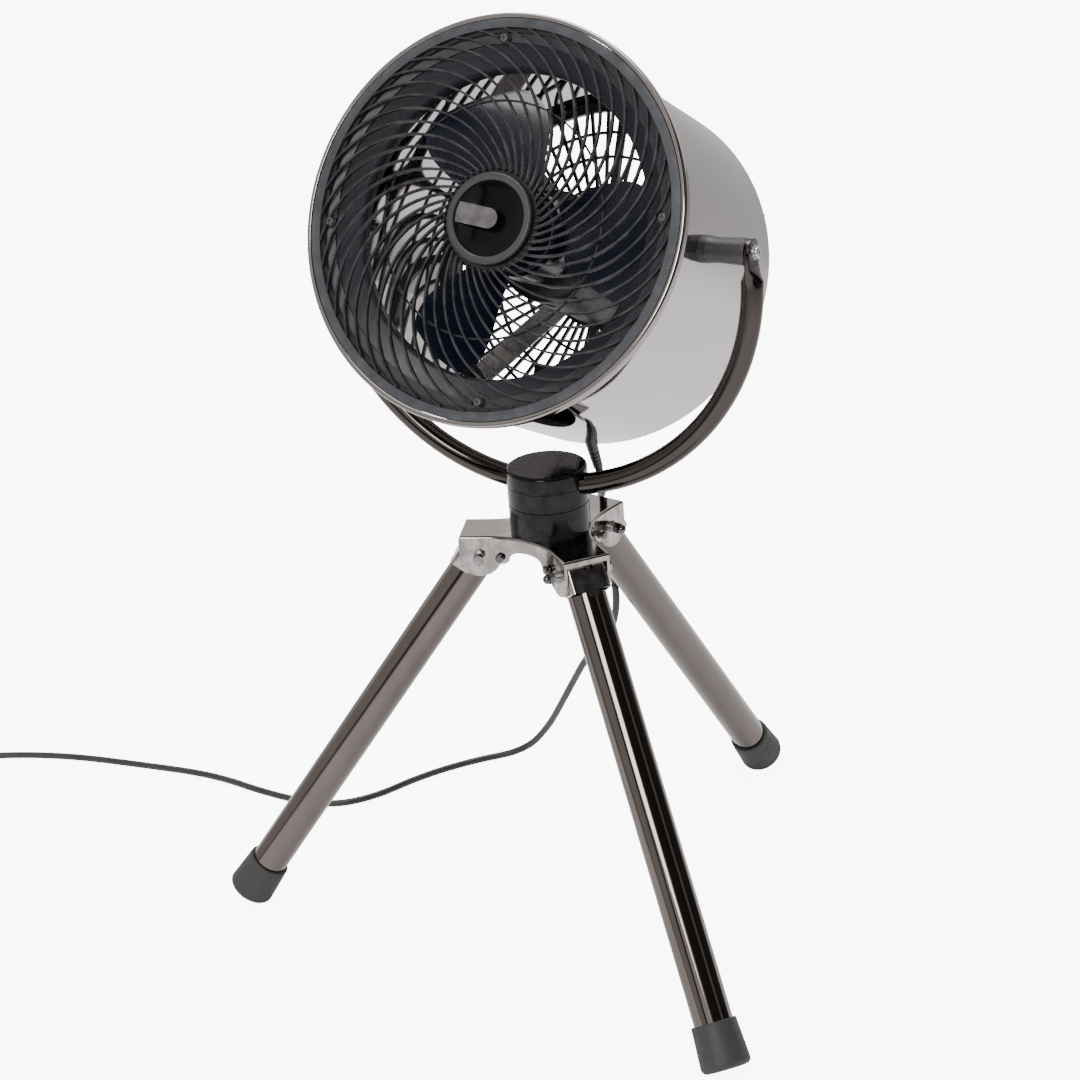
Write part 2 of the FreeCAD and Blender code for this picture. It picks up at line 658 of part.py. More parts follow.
def badge_ring():
    """The raised ring in the middle of the grille."""
    z = RIM_FRONT - 2.9 + RIB_T
    return turned([(BADGE_DISH_R, z), (BADGE_R, z), (BADGE_R, z + 1.2), ("arc", (BADGE_R - 0.6, z + 2.4),
                   (BADGE_R - 2.0, z + 2.9)), (BADGE_DISH_R + 0.6, z + 2.9), (BADGE_DISH_R, z + 2.3)])


def badge_dish():
    """The shallow glossy dish inside the badge ring."""
    z = RIM_FRONT - 2.9 + RIB_T
    r = BADGE_DISH_R
    return turned([(0, z - 5.4), (r + 1.0, z - 3.6), (r + 1.0, z), (r, z), (r, z + 1.0), (r - 1.5, z + 1.0),
                   ("arc", (r * 0.5, z - 3.1), (1.0, z - 3.9)), (0, z - 3.9)])


def badge_tab():
    """The rounded plate that reaches from the ring into the dish, without lettering."""
    z = RIM_FRONT - 2.9 + RIB_T + 1.0
    half = 8.0
    tip = 7.5
    r = BADGE_DISH_R
    outline = [(-r, -half), (tip - half, -half), ("arc", (tip, 0), (tip - half, half)), (-r, half)]
    plate = prism(outline, z, z + 1.4)
    return around(plate.common(ring(0, BADGE_DISH_R - 1.6, z, z + 2)), -8.0)


def rear_screw_points(z):
    return [polar(144.2, 22.5 + 45 * i, z) for i in range(8)]


GUARD_SLATS = 56
REAR_GUARD_Z = DRUM_REAR + 1.2  # inside the drum's rear flange
KNOB_CENTRE = V(0, -108, 0)


def rear_grille():
    """The rear guard: many thin radial slats, eight heavy bars, rings, and plates for motor and knob."""
    z = REAR_GUARD_Z
    rings = [ring(137.0, 145.6, z, z + 5)]
    rings += [ring(r - 1.1, r + 1.1, z + 0.6, z + 3.6) for r in (72, 98, 119)]
    bars = repeated(box_about(V(92, 0, z + 3.2), V(98, 6.0, 6.4)), 8)
    bars += repeated(box_about(V(94, 0, z + 1.5), V(90, 2.6, 3.0)), GUARD_SLATS)
    plate = ring(0, 50, z, z + 3)
    panel = rod(KNOB_CENTRE + Z * z, KNOB_CENTRE + Z * (z + 4), 26)
    body = joined(rings + bars + [plate, panel])
    body = body.cut(rod(KNOB_CENTRE + Z * (z - 1), KNOB_CENTRE + Z * (z + 9), 5.0))
    for p in rear_screw_points(z):
        body = body.cut(rod(p - Z, p + Z * 7, SCREW_R))
    for p in motor_screw_points(z):
        body = body.cut(rod(p - Z, p + Z * 7, SCREW_R + 0.2))
    return body


def rear_grille_screws():
    return group([screw(p, p + Z * 6.0, SCREW_R, 3.4, 2.2) for p in rear_screw_points(DRUM_REAR)])


def motor_screw_points(z):
    return [polar(38.0, 45 + 90 * i, z) for i in range(4)]


def motor_bracket():
    """A pressed steel cross between the guard and the motor."""
    z = REAR_GUARD_Z + 6.4
    arms = repeated(box_about(V(70, 0, z + 1), V(136, 20, 2)), 4, 45)
    standoff = ring(14, 20, REAR_GUARD_Z + 3, z)
    body = joined([ring(0, 47, z, z + 2), standoff] + arms)
    for p in motor_screw_points(z):
        body = body.cut(rod(p - Z * 3, p + Z * 3, SCREW_R + 0.2))
    keep_clear = rod(KNOB_CENTRE + Z * (z - 5), KNOB_CENTRE + Z * (z + 5), 26)
    return body.cut(keep_clear).cut(ring(0, 8, z - 10, z + 5))


def motor_rear_cover():
    z = REAR_GUARD_Z + 8.4
    cup = turned([(SHAFT_R + 6, z), (MOTOR_R - 3, z), ("arc", (MOTOR_R - 0.9, z + 0.9), (MOTOR_R, z + 3)),
                  (MOTOR_R, z + 22), (MOTOR_R - 2, z + 22), (MOTOR_R - 2, z + 3), (SHAFT_R + 10, z + 3),
                  (SHAFT_R + 10, z + 10), (SHAFT_R + 7, z + 10), (SHAFT_R + 7, z + 3), (SHAFT_R + 6, z + 3)])
    for p in motor_screw_points(z):
        cup = cup.cut(rod(p - Z, p + Z * 4, SCREW_R))
    return cup


def motor_front_cover():
    z = MOTOR_FRONT
    rear = REAR_GUARD_Z + 8.4 + 22
    cup = turned([(SHAFT_R + 2, z), (MOTOR_R - 5, z), ("arc", (MOTOR_R - 1.5, z - 1.5), (MOTOR_R, z - 5)),
                  (MOTOR_R, rear), (MOTOR_R - 2, rear), (MOTOR_R - 2, z - 5), ("arc", (MOTOR_R - 3, z - 2.6),
                  (MOTOR_R - 5, z - 2)), (SHAFT_R + 10, z - 2), (SHAFT_R + 10, z - 10), (SHAFT_R + 7, z - 10),
                  (SHAFT_R + 7, z - 2), (SHAFT_R + 2, z - 2)])
    slots = repeated(box_about(V(MOTOR_R, 0, z - 22), V(8, 5, 18)), 12)
    for slot in slots:
        cup = cup.cut(slot)
    return cup


def bearings():
    front = MOTOR_FRONT - 2
    rear = REAR_GUARD_Z + 8.4 + 3
    return group([ring(SHAFT_R + FIT, SHAFT_R + 7, front - 7, front), ring(SHAFT_R + FIT, SHAFT_R + 7, rear, rear + 7)])


STATOR_LOW = -112.0
STATOR_HIGH = -72.0
CORE_R = 24.0


def stator():
    """The laminated stator with eight open slots."""
    body = ring(CORE_R + 0.6, MOTOR_R - 2, STATOR_LOW, STATOR_HIGH)
    for slot in repeated(box_about(V(33, 0, (STATOR_LOW + STATOR_HIGH) / 2), V(10, 8, 60)), 8):
        body = body.cut(slot)
    return body


def stator_coils():
    """The wound copper that shows at both ends of the stator."""
    coils = []
    for low, high in ((STATOR_LOW - 8, STATOR_LOW), (STATOR_HIGH, STATOR_HIGH + 8)):
        coils.append(rounded(ring(28.5, 37.5, low, high), 2.5, lambda e: True))
    return group(coils)


def motor_screws():
    return group([screw(p, p + Z * 10.4, SCREW_R, 3.4, 2.2) for p in motor_screw_points(REAR_GUARD_Z)])


def motor_shaft():
    return rod(V(0, 0, -138), V(0, 0, SHAFT_FRONT), SHAFT_R)


def rotor_core():
    """The iron core that turns on the shaft inside the stator."""
    return ring(SHAFT_R, CORE_R, STATOR_LOW, STATOR_HIGH)


def impeller():
    """Three wide blades on a cup-shaped hub."""
    front = 30.0
    rear = -12.0
    hub = turned([(SHAFT_R, front - 12), (SHAFT_R + 5, front - 12), (SHAFT_R + 5, front - 5),
                  (IMPELLER_HUB_R - 6, front - 3), ("arc", (IMPELLER_HUB_R - 1.8, front - 4.8), (IMPELLER_HUB_R, front - 9)),
                  (IMPELLER_HUB_R, rear), (IMPELLER_HUB_R - 2.5, rear), (IMPELLER_HUB_R - 2.5, front - 12),
                  (SHAFT_R + 9, front - 12), (SHAFT_R + 9, front - 34), (SHAFT_R, front - 34)])
    blades = repeated(impeller_blade(), BLADES, BLADE_PHASE)
    return joined([hub] + blades)


def impeller_blade():
    """One paddle-shaped blade: sections at five radii, less steep towards the rounded tip."""
    sections = []
    for r, angle, chord in ((IMPELLER_HUB_R - 1.5, 34.0, 60.0), (66.0, 28.0, 86.0), (92.0, 24.0, 100.0),
                            (111.0, 21.0, 84.0), (BLADE_TIP_R + 0.5, 20.0, 46.0)):
        wire = blade_section(chord, angle, 2.6)
        wire.rotate(ORIGIN, Y, 90)
        wire.translate(V(r, 0, 14))
        sections.append(wire)
    blade = Part.makeLoft(sections, True)
    return blade.common(ring(IMPELLER_HUB_R - 1.2, BLADE_TIP_R, -60, 90))


def blade_section(chord, angle, thick):
    """A cambered section in the XY plane, along Y, turned by the blade's angle."""
    half = chord / 2
    camber = chord * 0.06
    front = Part.Arc(V(0, -half, 0), V(camber + thick / 2, 0, 0), V(0, half, 0)).toShape()
    back = Part.Arc(V(0, half, 0), V(camber - thick / 2, 0, 0), V(0, -half, 0)).toShape()
    wire = Part.Wire([front, back])
    wire.rotate(ORIGIN, Z, angle)
    return wire


def impeller_nut():
    """The spinner nut that holds the impeller, with a half-round front."""
    r = 12.0
    base = 34.0
    diagonal = r * math.sin(math.pi / 4)
    flat = 1.0
    top = base + math.sqrt(r ** 2 - flat ** 2)
    return turned([(SHAFT_R, 18), (8.8, 18), (8.8, 25.6), (r, 25.6), (r, base),
                   ("arc", (diagonal, base + diagonal), (flat, top)), (0, top),
                   (0, SHAFT_FRONT + 2), (SHAFT_R, SHAFT_FRONT + 2)])


def control_box():
    """The closed box for the connections, behind the guard's panel."""
    low = REAR_GUARD_Z + 6.5
    outer = box_about(V(0, -114, low + 17), V(68, 50, 34)).common(ring(0, 142.0, low, low + 34))
    outer = outer.cut(rod(V(0, 0, low - 1), V(0, 0, low + 50), 70))
    inner = box_about(V(0, -114, low + 17), V(63, 45, 29)).common(ring(0, 139.5, low, low + 34))
    body = outer.cut(inner).cut(rod(KNOB_CENTRE + Z * (low - 2), KNOB_CENTRE + Z * (low + 4), 7.0))
    return body.cut(rod(GLAND_POINT + Y * 20, GLAND_POINT - Y * 2, GLAND_R))


def speed_switch():
    """The rotary switch in the box, with its threaded bushing through the guard's panel."""
    low = REAR_GUARD_Z + 9.1
    body = box_about(KNOB_CENTRE + Z * (low + 8), V(24, 22, 16))
    bush = rod(KNOB_CENTRE + Z * (REAR_GUARD_Z - 3), KNOB_CENTRE + Z * low, 4.8)
    bore = rod(KNOB_CENTRE + Z * (REAR_GUARD_Z - 4), KNOB_CENTRE + Z * (low + 10), 3.0 + FIT)
    return joined([body, bush]).cut(bore)


def speed_knob():
    """A ribbed knob with its spindle."""
    top = DRUM_REAR - 2.4
    disc = turned([(0, top), (15.0, top), (14.0, top - 13.5), ("arc", (13.5, top - 14.7), (12.3, top - 15)),
                   (0, top - 15)])
    disc = disc.cut(box_about(V(0, 12.5, top - 15), V(1.6, 6, 1.4)))
    for flute in repeated(rod(V(16.2, 0, top + 1), V(15.2, 0, top - 16), 2.0), 16):
        disc = disc.cut(flute)
    spindle = rod(V(0, 0, top), V(0, 0, REAR_GUARD_Z + 17), 3.0)
    socket = rod(V(0, 0, top + 1), V(0, 0, top - 3), 5.6).cut(rod(V(0, 0, top + 1), V(0, 0, top - 4), 3.0))
    knob = joined([disc.cut(socket), spindle])
    knob.translate(KNOB_CENTRE)
    return knob


def capacitor():
    z = REAR_GUARD_Z + 9.5
    return rounded(box_about(V(22, -106, z + 14), V(16, 26, 24)), 1.5, lambda e: True)


def terminal_block():
    z = REAR_GUARD_Z + 9.5
    block = box_about(V(-22, -112, z + 14), V(14, 30, 18))
    for y in (-122, -112, -102):
        block = block.cut(rod(V(-22, y, z + 24), V(-22, y, z + 8), 3.0))
    return block


def pivot_spacers():
    """The tapered moulded spacers between the drum and the yoke."""
    inner = math.sqrt(DRUM_R ** 2 - 11.0 ** 2)
    spacers = []
    for sign in (-1, 1):
        face = YOKE_R - YOKE_END_T / 2 - 0.2
        profile = [(0, inner - 1), (11.0, inner - 1), (11.0, 154), ("arc", (10.2, 160), (10.2, 168)),
                   (11.0, face - 1.5), (10.4, face), (0, face)]
        spacer = turned(profile)
        spacer.rotate(ORIGIN, Y, 90 * sign)
        spacer = spacer.cut(ring(0, DRUM_R, -30, 30)).cut(rod(V(-200, 0, 0), V(200, 0, 0), BOLT_R))
        spacers.append(spacer)
    return group(spacers)


def pivot_screws():
    return group([screw(X * sign * PIVOT_HEAD_X, X * sign * (DRUM_R - 12), BOLT_R, 4.6, 2.8) for sign in (-1, 1)])


def pivot_nuts():
    """The nuts inside the drum, each on a washer cut to the drum's curve."""
    nuts = []
    for sign in (-1, 1):
        nut = hexagon(10.0, 5.0, X * sign * (DRUM_R - 4.6), -X * sign)
        pad = rod(X * sign * (DRUM_R - 4.6), X * sign * DRUM_R, 8.0).common(ring(0, DRUM_R - DRUM_WALL, -20, 20))
        nuts += [nut.cut(rod(X * -200, X * 200, BOLT_R)), pad.cut(rod(X * -200, X * 200, BOLT_R))]
    return group(nuts)


# ---- mains cord -----------------------------------------------------------------------------

GLAND_R = 5.5
GLAND_POINT = V(15.0, -DRUM_R, -141.0)
GLAND_TILT = 50.0  # degrees that the strain relief leans to the rear
GLAND_LENGTH = 27.0


def strain_relief():
    """The slim tapered rubber sleeve where the cord leaves the drum."""
    r = CORD_D / 2
    cone = turned([(0, -8), (4.9, -8), (4.9, 4), (r + 0.8, GLAND_LENGTH), (0, GLAND_LENGTH)])
    for i in range(4):
        cone = cone.cut(ring(r + 0.6, 9, 8 + 4.2 * i, 9.4 + 4.2 * i))
    cone.rotate(ORIGIN, X, 90 + GLAND_TILT)
    cone.translate(GLAND_POINT)
    cone = cone.cut(ring(0, DRUM_R, -170, -100))
    neck = rod(GLAND_POINT + Y * 9.5, GLAND_POINT - Y * 2, GLAND_R)
    neck = neck.common(ring(0, DRUM_R + 1, -160, -120))
    return joined([cone, neck])


def gland_tip():
    """The strain relief's end and the direction in which the cord leaves it, in the stand's frame."""
    lean = math.radians(GLAND_TILT)
    local = V(0, -math.cos(lean), -math.sin(lean))
    placed = DRUM_FRAME.multVec(GLAND_POINT + local * GLAND_LENGTH)
    return placed, DRUM_FRAME.Rotation.multVec(local)


def cord_tube(points):
    """A round cord along straight runs that tangent arcs join."""
    edges = []
    start = points[0]
    for before, corner, after in zip(points, points[1:], points[2:]):
        incoming = corner - before
        outgoing = after - corner
        turn = incoming.getAngle(outgoing)
        run = 0.45 * min(incoming.Length, outgoing.Length)
        radius = run / math.tan(turn / 2)
        print("cord turn %.0f degrees, radius %.0f mm" % (math.degrees(turn), radius))
        first = corner - incoming.normalize() * run
        last = corner + outgoing.normalize() * run
        inwards = ((first + last) * 0.5 - corner).normalize()
        middle = corner + inwards * (radius / math.cos(turn / 2) - radius)
        edges.append(Part.LineSegment(start, first).toShape())
        edges.append(Part.Arc(first, middle, last).toShape())
        start = last
    edges.append(Part.LineSegment(start, points[-1]).toShape())
    path = Part.Wire(edges)
    direction = (points[1] - points[0]).normalize()
    section = Part.Wire(Part.Circle(points[0], direction, CORD_D / 2).toShape())
    tube = path.makePipeShell([section], True, True)
    expected = path.Length * math.pi * CORD_D ** 2 / 4
    print("cord length %.0f mm, volume ratio %.4f" % (path.Length, tube.Volume / expected))
    return tube


FLOOR_CORD_Z = CORD_D / 2 + 0.05
CORD_JOIN = V(92, 92, 256)
COIL_R = 36.0
COIL_TUBE_R = CORD_D


def upper_route():
    """From the strain relief down behind the yoke's right arm."""
    tip, direction = gland_tip()
    return [tip, tip + direction * 25, V(75, 74, 345), V(85, 84, 300), CORD_JOIN]


def lower_route():
    """From there down to the floor behind the stand and away to the left."""
    floor_points = [(8, 288), (-48, 283), (-103, 266), (-149, 273), (-191, 324), (-229, 390), (-290, 449),
                    (-345, 500), (-400, 536), (-450, 556)]
    falling = [CORD_JOIN, V(99, 100, 212), V(86, 152, 160), V(81, 200, 100), V(75, 244, 43), V(60, 276, 6.5)]
    return falling + [V(x, y, FLOOR_CORD_Z) for x, y in floor_points]


def coil_frame():
    """The cord's end on the floor, its direction there, and the middle of the coil."""
    route = lower_route()
    direction = (route[-1] - route[-2]).normalize()
    side = Z.cross(direction)
    return route[-1], direction, route[-1] + direction * 26 + side * COIL_R


def cord_coil():
    """The coiled rest of the cord as one ring, with the ends where the cord comes in and goes out."""
    start, direction, middle = coil_frame()
    side = Z.cross(direction)
    coil = Part.makeTorus(COIL_R, COIL_TUBE_R, V(middle.x, middle.y, COIL_TUBE_R), Z)
    entry = rod(start, start + direction * 26, CORD_D / 2)
    leave = middle + direction * COIL_R
    leave.z = PLUG_Z
    out = rod(leave, leave + side * 34, CORD_D / 2)
    return joined([coil, entry, out])


PLUG_Z = 9.2


def plug():
    """The moulded plug, with two flat pins and a round earth pin."""
    _, direction, middle = coil_frame()
    side = Z.cross(direction)
    back = middle + direction * COIL_R + side * 34
    back.z = PLUG_Z
    neck = Part.makeCone(5.0, 6.6, 12)
    body = face_of([(-9, -9), (9, -9), ("arc", (12.5, 0), (9, 9)), (-9, 9), ("arc", (-12.5, 0), (-9, -9))],
                   lambda x, y: V(x, y, 12)).extrude(V(0, 0, 26))
    body = rounded(body, 2.0, lambda e: abs(e.CenterOfMass.z - 12) < 0.1)
    pins = [box_about(V(x, 3, 46), V(1.5, 6.3, 18)) for x in (-6.35, 6.35)]
    pins.append(rod(V(0, -5.5, 37), V(0, -5.5, 57), 2.4))
    whole = joined([neck, body] + pins)
    whole.Placement = columns(Z.cross(side), Z, side, back)
    return whole


# ---- all pieces -----------------------------------------------------------------------------


def stand_pieces():
    return {
        "tripod_head": tripod_head(),
        "hub_base": hub_base(),
        "hub_base_screws": base_screws(),
        "friction_washer": friction_washer(),
        "hinge_bolts": hinge_bolts(),
        "hinge_nuts": hinge_nuts(),
        "hinge_washers": hinge_washers(),
        "ear_rivets": ear_rivets(),
    }


def leg_pieces():
    pieces = {}
    for i, name in enumerate(LEG_NAMES):
        pieces[name + "_leg_tube"] = standing_leg(leg_tube(), i)
        pieces[name + "_leg_bracket"] = standing_leg(leg_bracket(), i)
        pieces[name + "_leg_foot"] = standing_leg(leg_foot(), i)
    return pieces


def yoke_pieces():
    pieces = {
        "hub_shell": hub_shell(),
        "hub_cap": hub_cap(),
        "hub_clamp_screws": clamp_screws(),
        "swivel_bolt": swivel_bolt(),
        "swivel_nut": swivel_nut(),
    }
    pieces["yoke_tube"] = in_frame(yoke_tube(), YOKE_FRAME)
    pieces["pivot_washers"] = in_frame(pivot_washers(), YOKE_FRAME)
    return pieces


def drum_pieces():
    makers = (drum_shell, front_rim, front_shroud, front_grille, grille_screws, badge_ring, badge_dish,
              badge_tab, rear_grille, rear_grille_screws, motor_bracket, motor_rear_cover,
              motor_front_cover, bearings, stator, stator_coils, motor_screws, motor_shaft, rotor_core,
              impeller, impeller_nut, control_box, speed_switch, speed_knob, capacitor, terminal_block,
              pivot_spacers, pivot_screws, pivot_nuts, strain_relief)
    return {maker.__name__: in_frame(maker(), DRUM_FRAME) for maker in makers}


def cord_pieces():
    return {
        "cord_upper": cord_tube(upper_route()),
        "cord_lower": cord_tube(lower_route()),
        "cord_coil": cord_coil(),
        "plug": plug(),
    }


def main():
    os.makedirs("parts", exist_ok=True)
    solid_pieces = {**stand_pieces(), **leg_pieces(), **yoke_pieces(), **drum_pieces()}
    bounds = FreeCAD.BoundBox()
    for shape in solid_pieces.values():
        bounds.add(shape.optimalBoundingBox(False))
    shift = V(-bounds.Center.x, -bounds.Center.y, -bounds.ZMin)
    print("shift", shift, "size", bounds.XLength, bounds.YLength, bounds.ZLength)
    for name, shape in {**solid_pieces, **cord_pieces()}.items():
        moved = shape.copy()
        moved.translate(shift)
        if not moved.isValid() or moved.Volume <= 0:
            print("not a good solid:", name, moved.isValid(), moved.Volume)
        print(name, len(moved.Solids), round(moved.Volume))
        moved.exportStep("parts/" + name + ".step")


main()
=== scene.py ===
"""Looks of a drum fan on a folding tripod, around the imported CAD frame. Metres, Blender 4.5."""
import json
import math

import bmesh
import bpy
from mathutils import Matrix, Vector


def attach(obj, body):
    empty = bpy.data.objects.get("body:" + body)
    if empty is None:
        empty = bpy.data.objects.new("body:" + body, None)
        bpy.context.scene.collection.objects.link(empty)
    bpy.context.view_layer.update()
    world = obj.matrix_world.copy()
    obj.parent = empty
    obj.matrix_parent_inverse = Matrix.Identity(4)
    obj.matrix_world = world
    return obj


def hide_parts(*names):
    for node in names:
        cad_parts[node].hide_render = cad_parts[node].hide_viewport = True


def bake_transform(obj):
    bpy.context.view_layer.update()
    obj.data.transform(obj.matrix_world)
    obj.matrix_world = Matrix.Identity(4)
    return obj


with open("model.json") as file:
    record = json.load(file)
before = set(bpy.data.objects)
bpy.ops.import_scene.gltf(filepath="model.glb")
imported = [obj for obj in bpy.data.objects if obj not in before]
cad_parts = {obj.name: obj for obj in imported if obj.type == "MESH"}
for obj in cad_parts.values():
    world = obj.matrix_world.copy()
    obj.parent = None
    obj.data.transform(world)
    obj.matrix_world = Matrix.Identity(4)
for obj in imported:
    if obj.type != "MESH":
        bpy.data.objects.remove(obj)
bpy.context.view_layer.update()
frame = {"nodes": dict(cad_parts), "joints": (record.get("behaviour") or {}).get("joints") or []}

JOINTS = {j["name"]: j for j in frame["joints"]}
NODES = frame["nodes"]
STAND = Vector((JOINTS["pan"]["pos_m"][0], JOINTS["pan"]["pos_m"][1], 0.0))
PIVOT = Vector(JOINTS["tilt"]["pos_m"])
SIDE = Vector(JOINTS["tilt"]["axis"]).normalized()
FORWARD = Vector(JOINTS["fan_spin"]["axis"]).normalized()
DRUM_UP = FORWARD.cross(SIDE)
UP = Vector((0, 0, 1))
LEVEL_FORWARD = SIDE.cross(UP)

LEG_NAMES = ("front", "right", "left")
LEG_OUTWARDS = 0.5838  # a leg's unit direction: this much outwards and the next much down
LEG_DOWN = 0.8119
HUB_SEAM_Z = 0.4055  # where the hub's cap meets its shell
YOKE_R = 0.1879  # radius of the yoke's half circle, at the tube's centre line
YOKE_TUBE_R = 0.009
YOKE_CENTRE_Y = -0.0233  # height of the half circle's centre over the pivots
TONGUE_R = 0.011  # the yoke's flattened ends
TONGUE_HALF_T = 0.0025

CAMERA_YAW = 20.608  # degrees
CAMERA_PITCH = 23.257
CAMERA_ROLL = -4.332
CAMERA_LENS = 83.58  # millimetres
CAMERA_PLACE = (-0.6869, -1.7987, 1.1797)  # from the stand's axis at the floor
VIEW_SIDE = (0.936, -0.352)  # level, to the right of the picture
VIEW_BACK = (0.352, 0.936)  # level, away from the camera

FLOOR_HALF = 14.0
FLOOR_Z = -0.0006
FLOOR_GLOW = 0.22
FLOOR_SEEN = 8.0  # the paper's own brightness where the camera sees it, so that it is near white
PAPER_SEEN = 9.0  # the same for the backdrop, where no light of the room is added
DIM_ROOM = (0.075, 0.060, 0.052)
ROOM_STRENGTH = 1.5
KEY_WATTS = 60
TOP_WATTS = 46

CORD_D = 0.0066
CORD_Z = CORD_D / 2 + 0.00005  # the cord's centre line where it lies on the floor
COIL_R = 0.036


# ---- camera, floor and light ----------------------------------------------------------------


def make_camera():
    """A long lens from the front left, a little rolled, at the photograph's viewing angle."""
    yaw = math.radians(CAMERA_YAW)
    pitch = math.radians(CAMERA_PITCH)
    roll = math.radians(CAMERA_ROLL)
    level = Vector((math.sin(yaw), math.cos(yaw), 0.0))
    ahead = level * math.cos(pitch) - UP * math.sin(pitch)
    right = Vector((math.cos(yaw), -math.sin(yaw), 0.0))
    up = right.cross(ahead)
    turned_right = right * math.cos(roll) + up * math.sin(roll)
    turned_up = up * math.cos(roll) - right * math.sin(roll)
    data = bpy.data.cameras.new("camera")
    data.lens = CAMERA_LENS
    data.sensor_width = 36.0
    data.clip_end = 200.0
    camera = bpy.data.objects.new("camera", data)
    rotation = Matrix((turned_right, turned_up, -ahead)).transposed()
    place = Matrix.Translation(STAND + Vector(CAMERA_PLACE))
    camera.matrix_world = place @ rotation.to_4x4()
    bpy.context.collection.objects.link(camera)
    bpy.context.scene.camera = camera


def nodes_of(material):
    material.use_nodes = True
    tree = material.node_tree
    shader = next(n for n in tree.nodes if n.type == "BSDF_PRINCIPLED")
    return tree, shader


def make_floor():
    """Plain pale paper. Mirrors see it dimmer far away, most so in front, as where a table ends."""
    mesh = bpy.data.meshes.new("floor")
    corners = [(-1, -1), (1, -1), (1, 1), (-1, 1)]
    points = [(x * FLOOR_HALF, y * FLOOR_HALF, FLOOR_Z) for x, y in corners]
    mesh.from_pydata(points, [], [(0, 1, 2, 3)])
    floor = bpy.data.objects.new("floor", mesh)
    bpy.context.collection.objects.link(floor)
    material = bpy.data.materials.new("floor_paper")
    tree, shader = nodes_of(material)
    shader.inputs["Base Color"].default_value = (0.95, 0.95, 0.95, 1.0)
    shader.inputs["Roughness"].default_value = 0.9
    shader.inputs["Specular IOR Level"].default_value = 0.1
    shader.inputs["Emission Color"].default_value = (1.0, 1.0, 1.0, 1.0)
    rays = add(tree, "ShaderNodeLightPath")
    seen = spread(tree, rays.outputs["Is Camera Ray"], 0.0, 1.0, FLOOR_GLOW, FLOOR_SEEN)
    tree.links.new(seen, shader.inputs["Emission Strength"])
    far = add(tree, "ShaderNodeEmission")
    far.inputs["Color"].default_value = (*DIM_ROOM, 1.0)
    place = add(tree, "ShaderNodeTexCoord").outputs["Object"]
    distance = add(tree, "ShaderNodeVectorMath", operation="LENGTH")
    tree.links.new(place, distance.inputs[0])
    bearing = add(tree, "ShaderNodeVectorMath", operation="NORMALIZE")
    tree.links.new(place, bearing.inputs[0])
    away = spread(tree, distance.outputs["Value"], 1.2, 2.4, 0.0, 1.0)
    backwards = level_part(tree, bearing.outputs["Vector"], VIEW_BACK)
    near_side = spread(tree, backwards, 0.3, -0.8, 0.5, 1.0)
    away = combined(tree, "MULTIPLY", away, near_side)
    share = combined(tree, "MULTIPLY", away, rays.outputs["Is Glossy Ray"])
    mix = add(tree, "ShaderNodeMixShader")
    tree.links.new(share, mix.inputs["Fac"])
    tree.links.new(shader.outputs["BSDF"], mix.inputs[1])
    tree.links.new(far.outputs["Emission"], mix.inputs[2])
    output = next(n for n in tree.nodes if n.type == "OUTPUT_MATERIAL")
    tree.links.new(mix.outputs["Shader"], output.inputs["Surface"])
    mesh.materials.append(material)


def level_part(tree, direction, along):
    """How far a direction points along a level unit vector."""
    node = add(tree, "ShaderNodeVectorMath", operation="DOT_PRODUCT")
    tree.links.new(direction, node.inputs[0])
    node.inputs[1].default_value = (along[0], along[1], 0.0)
    return node.outputs["Value"]


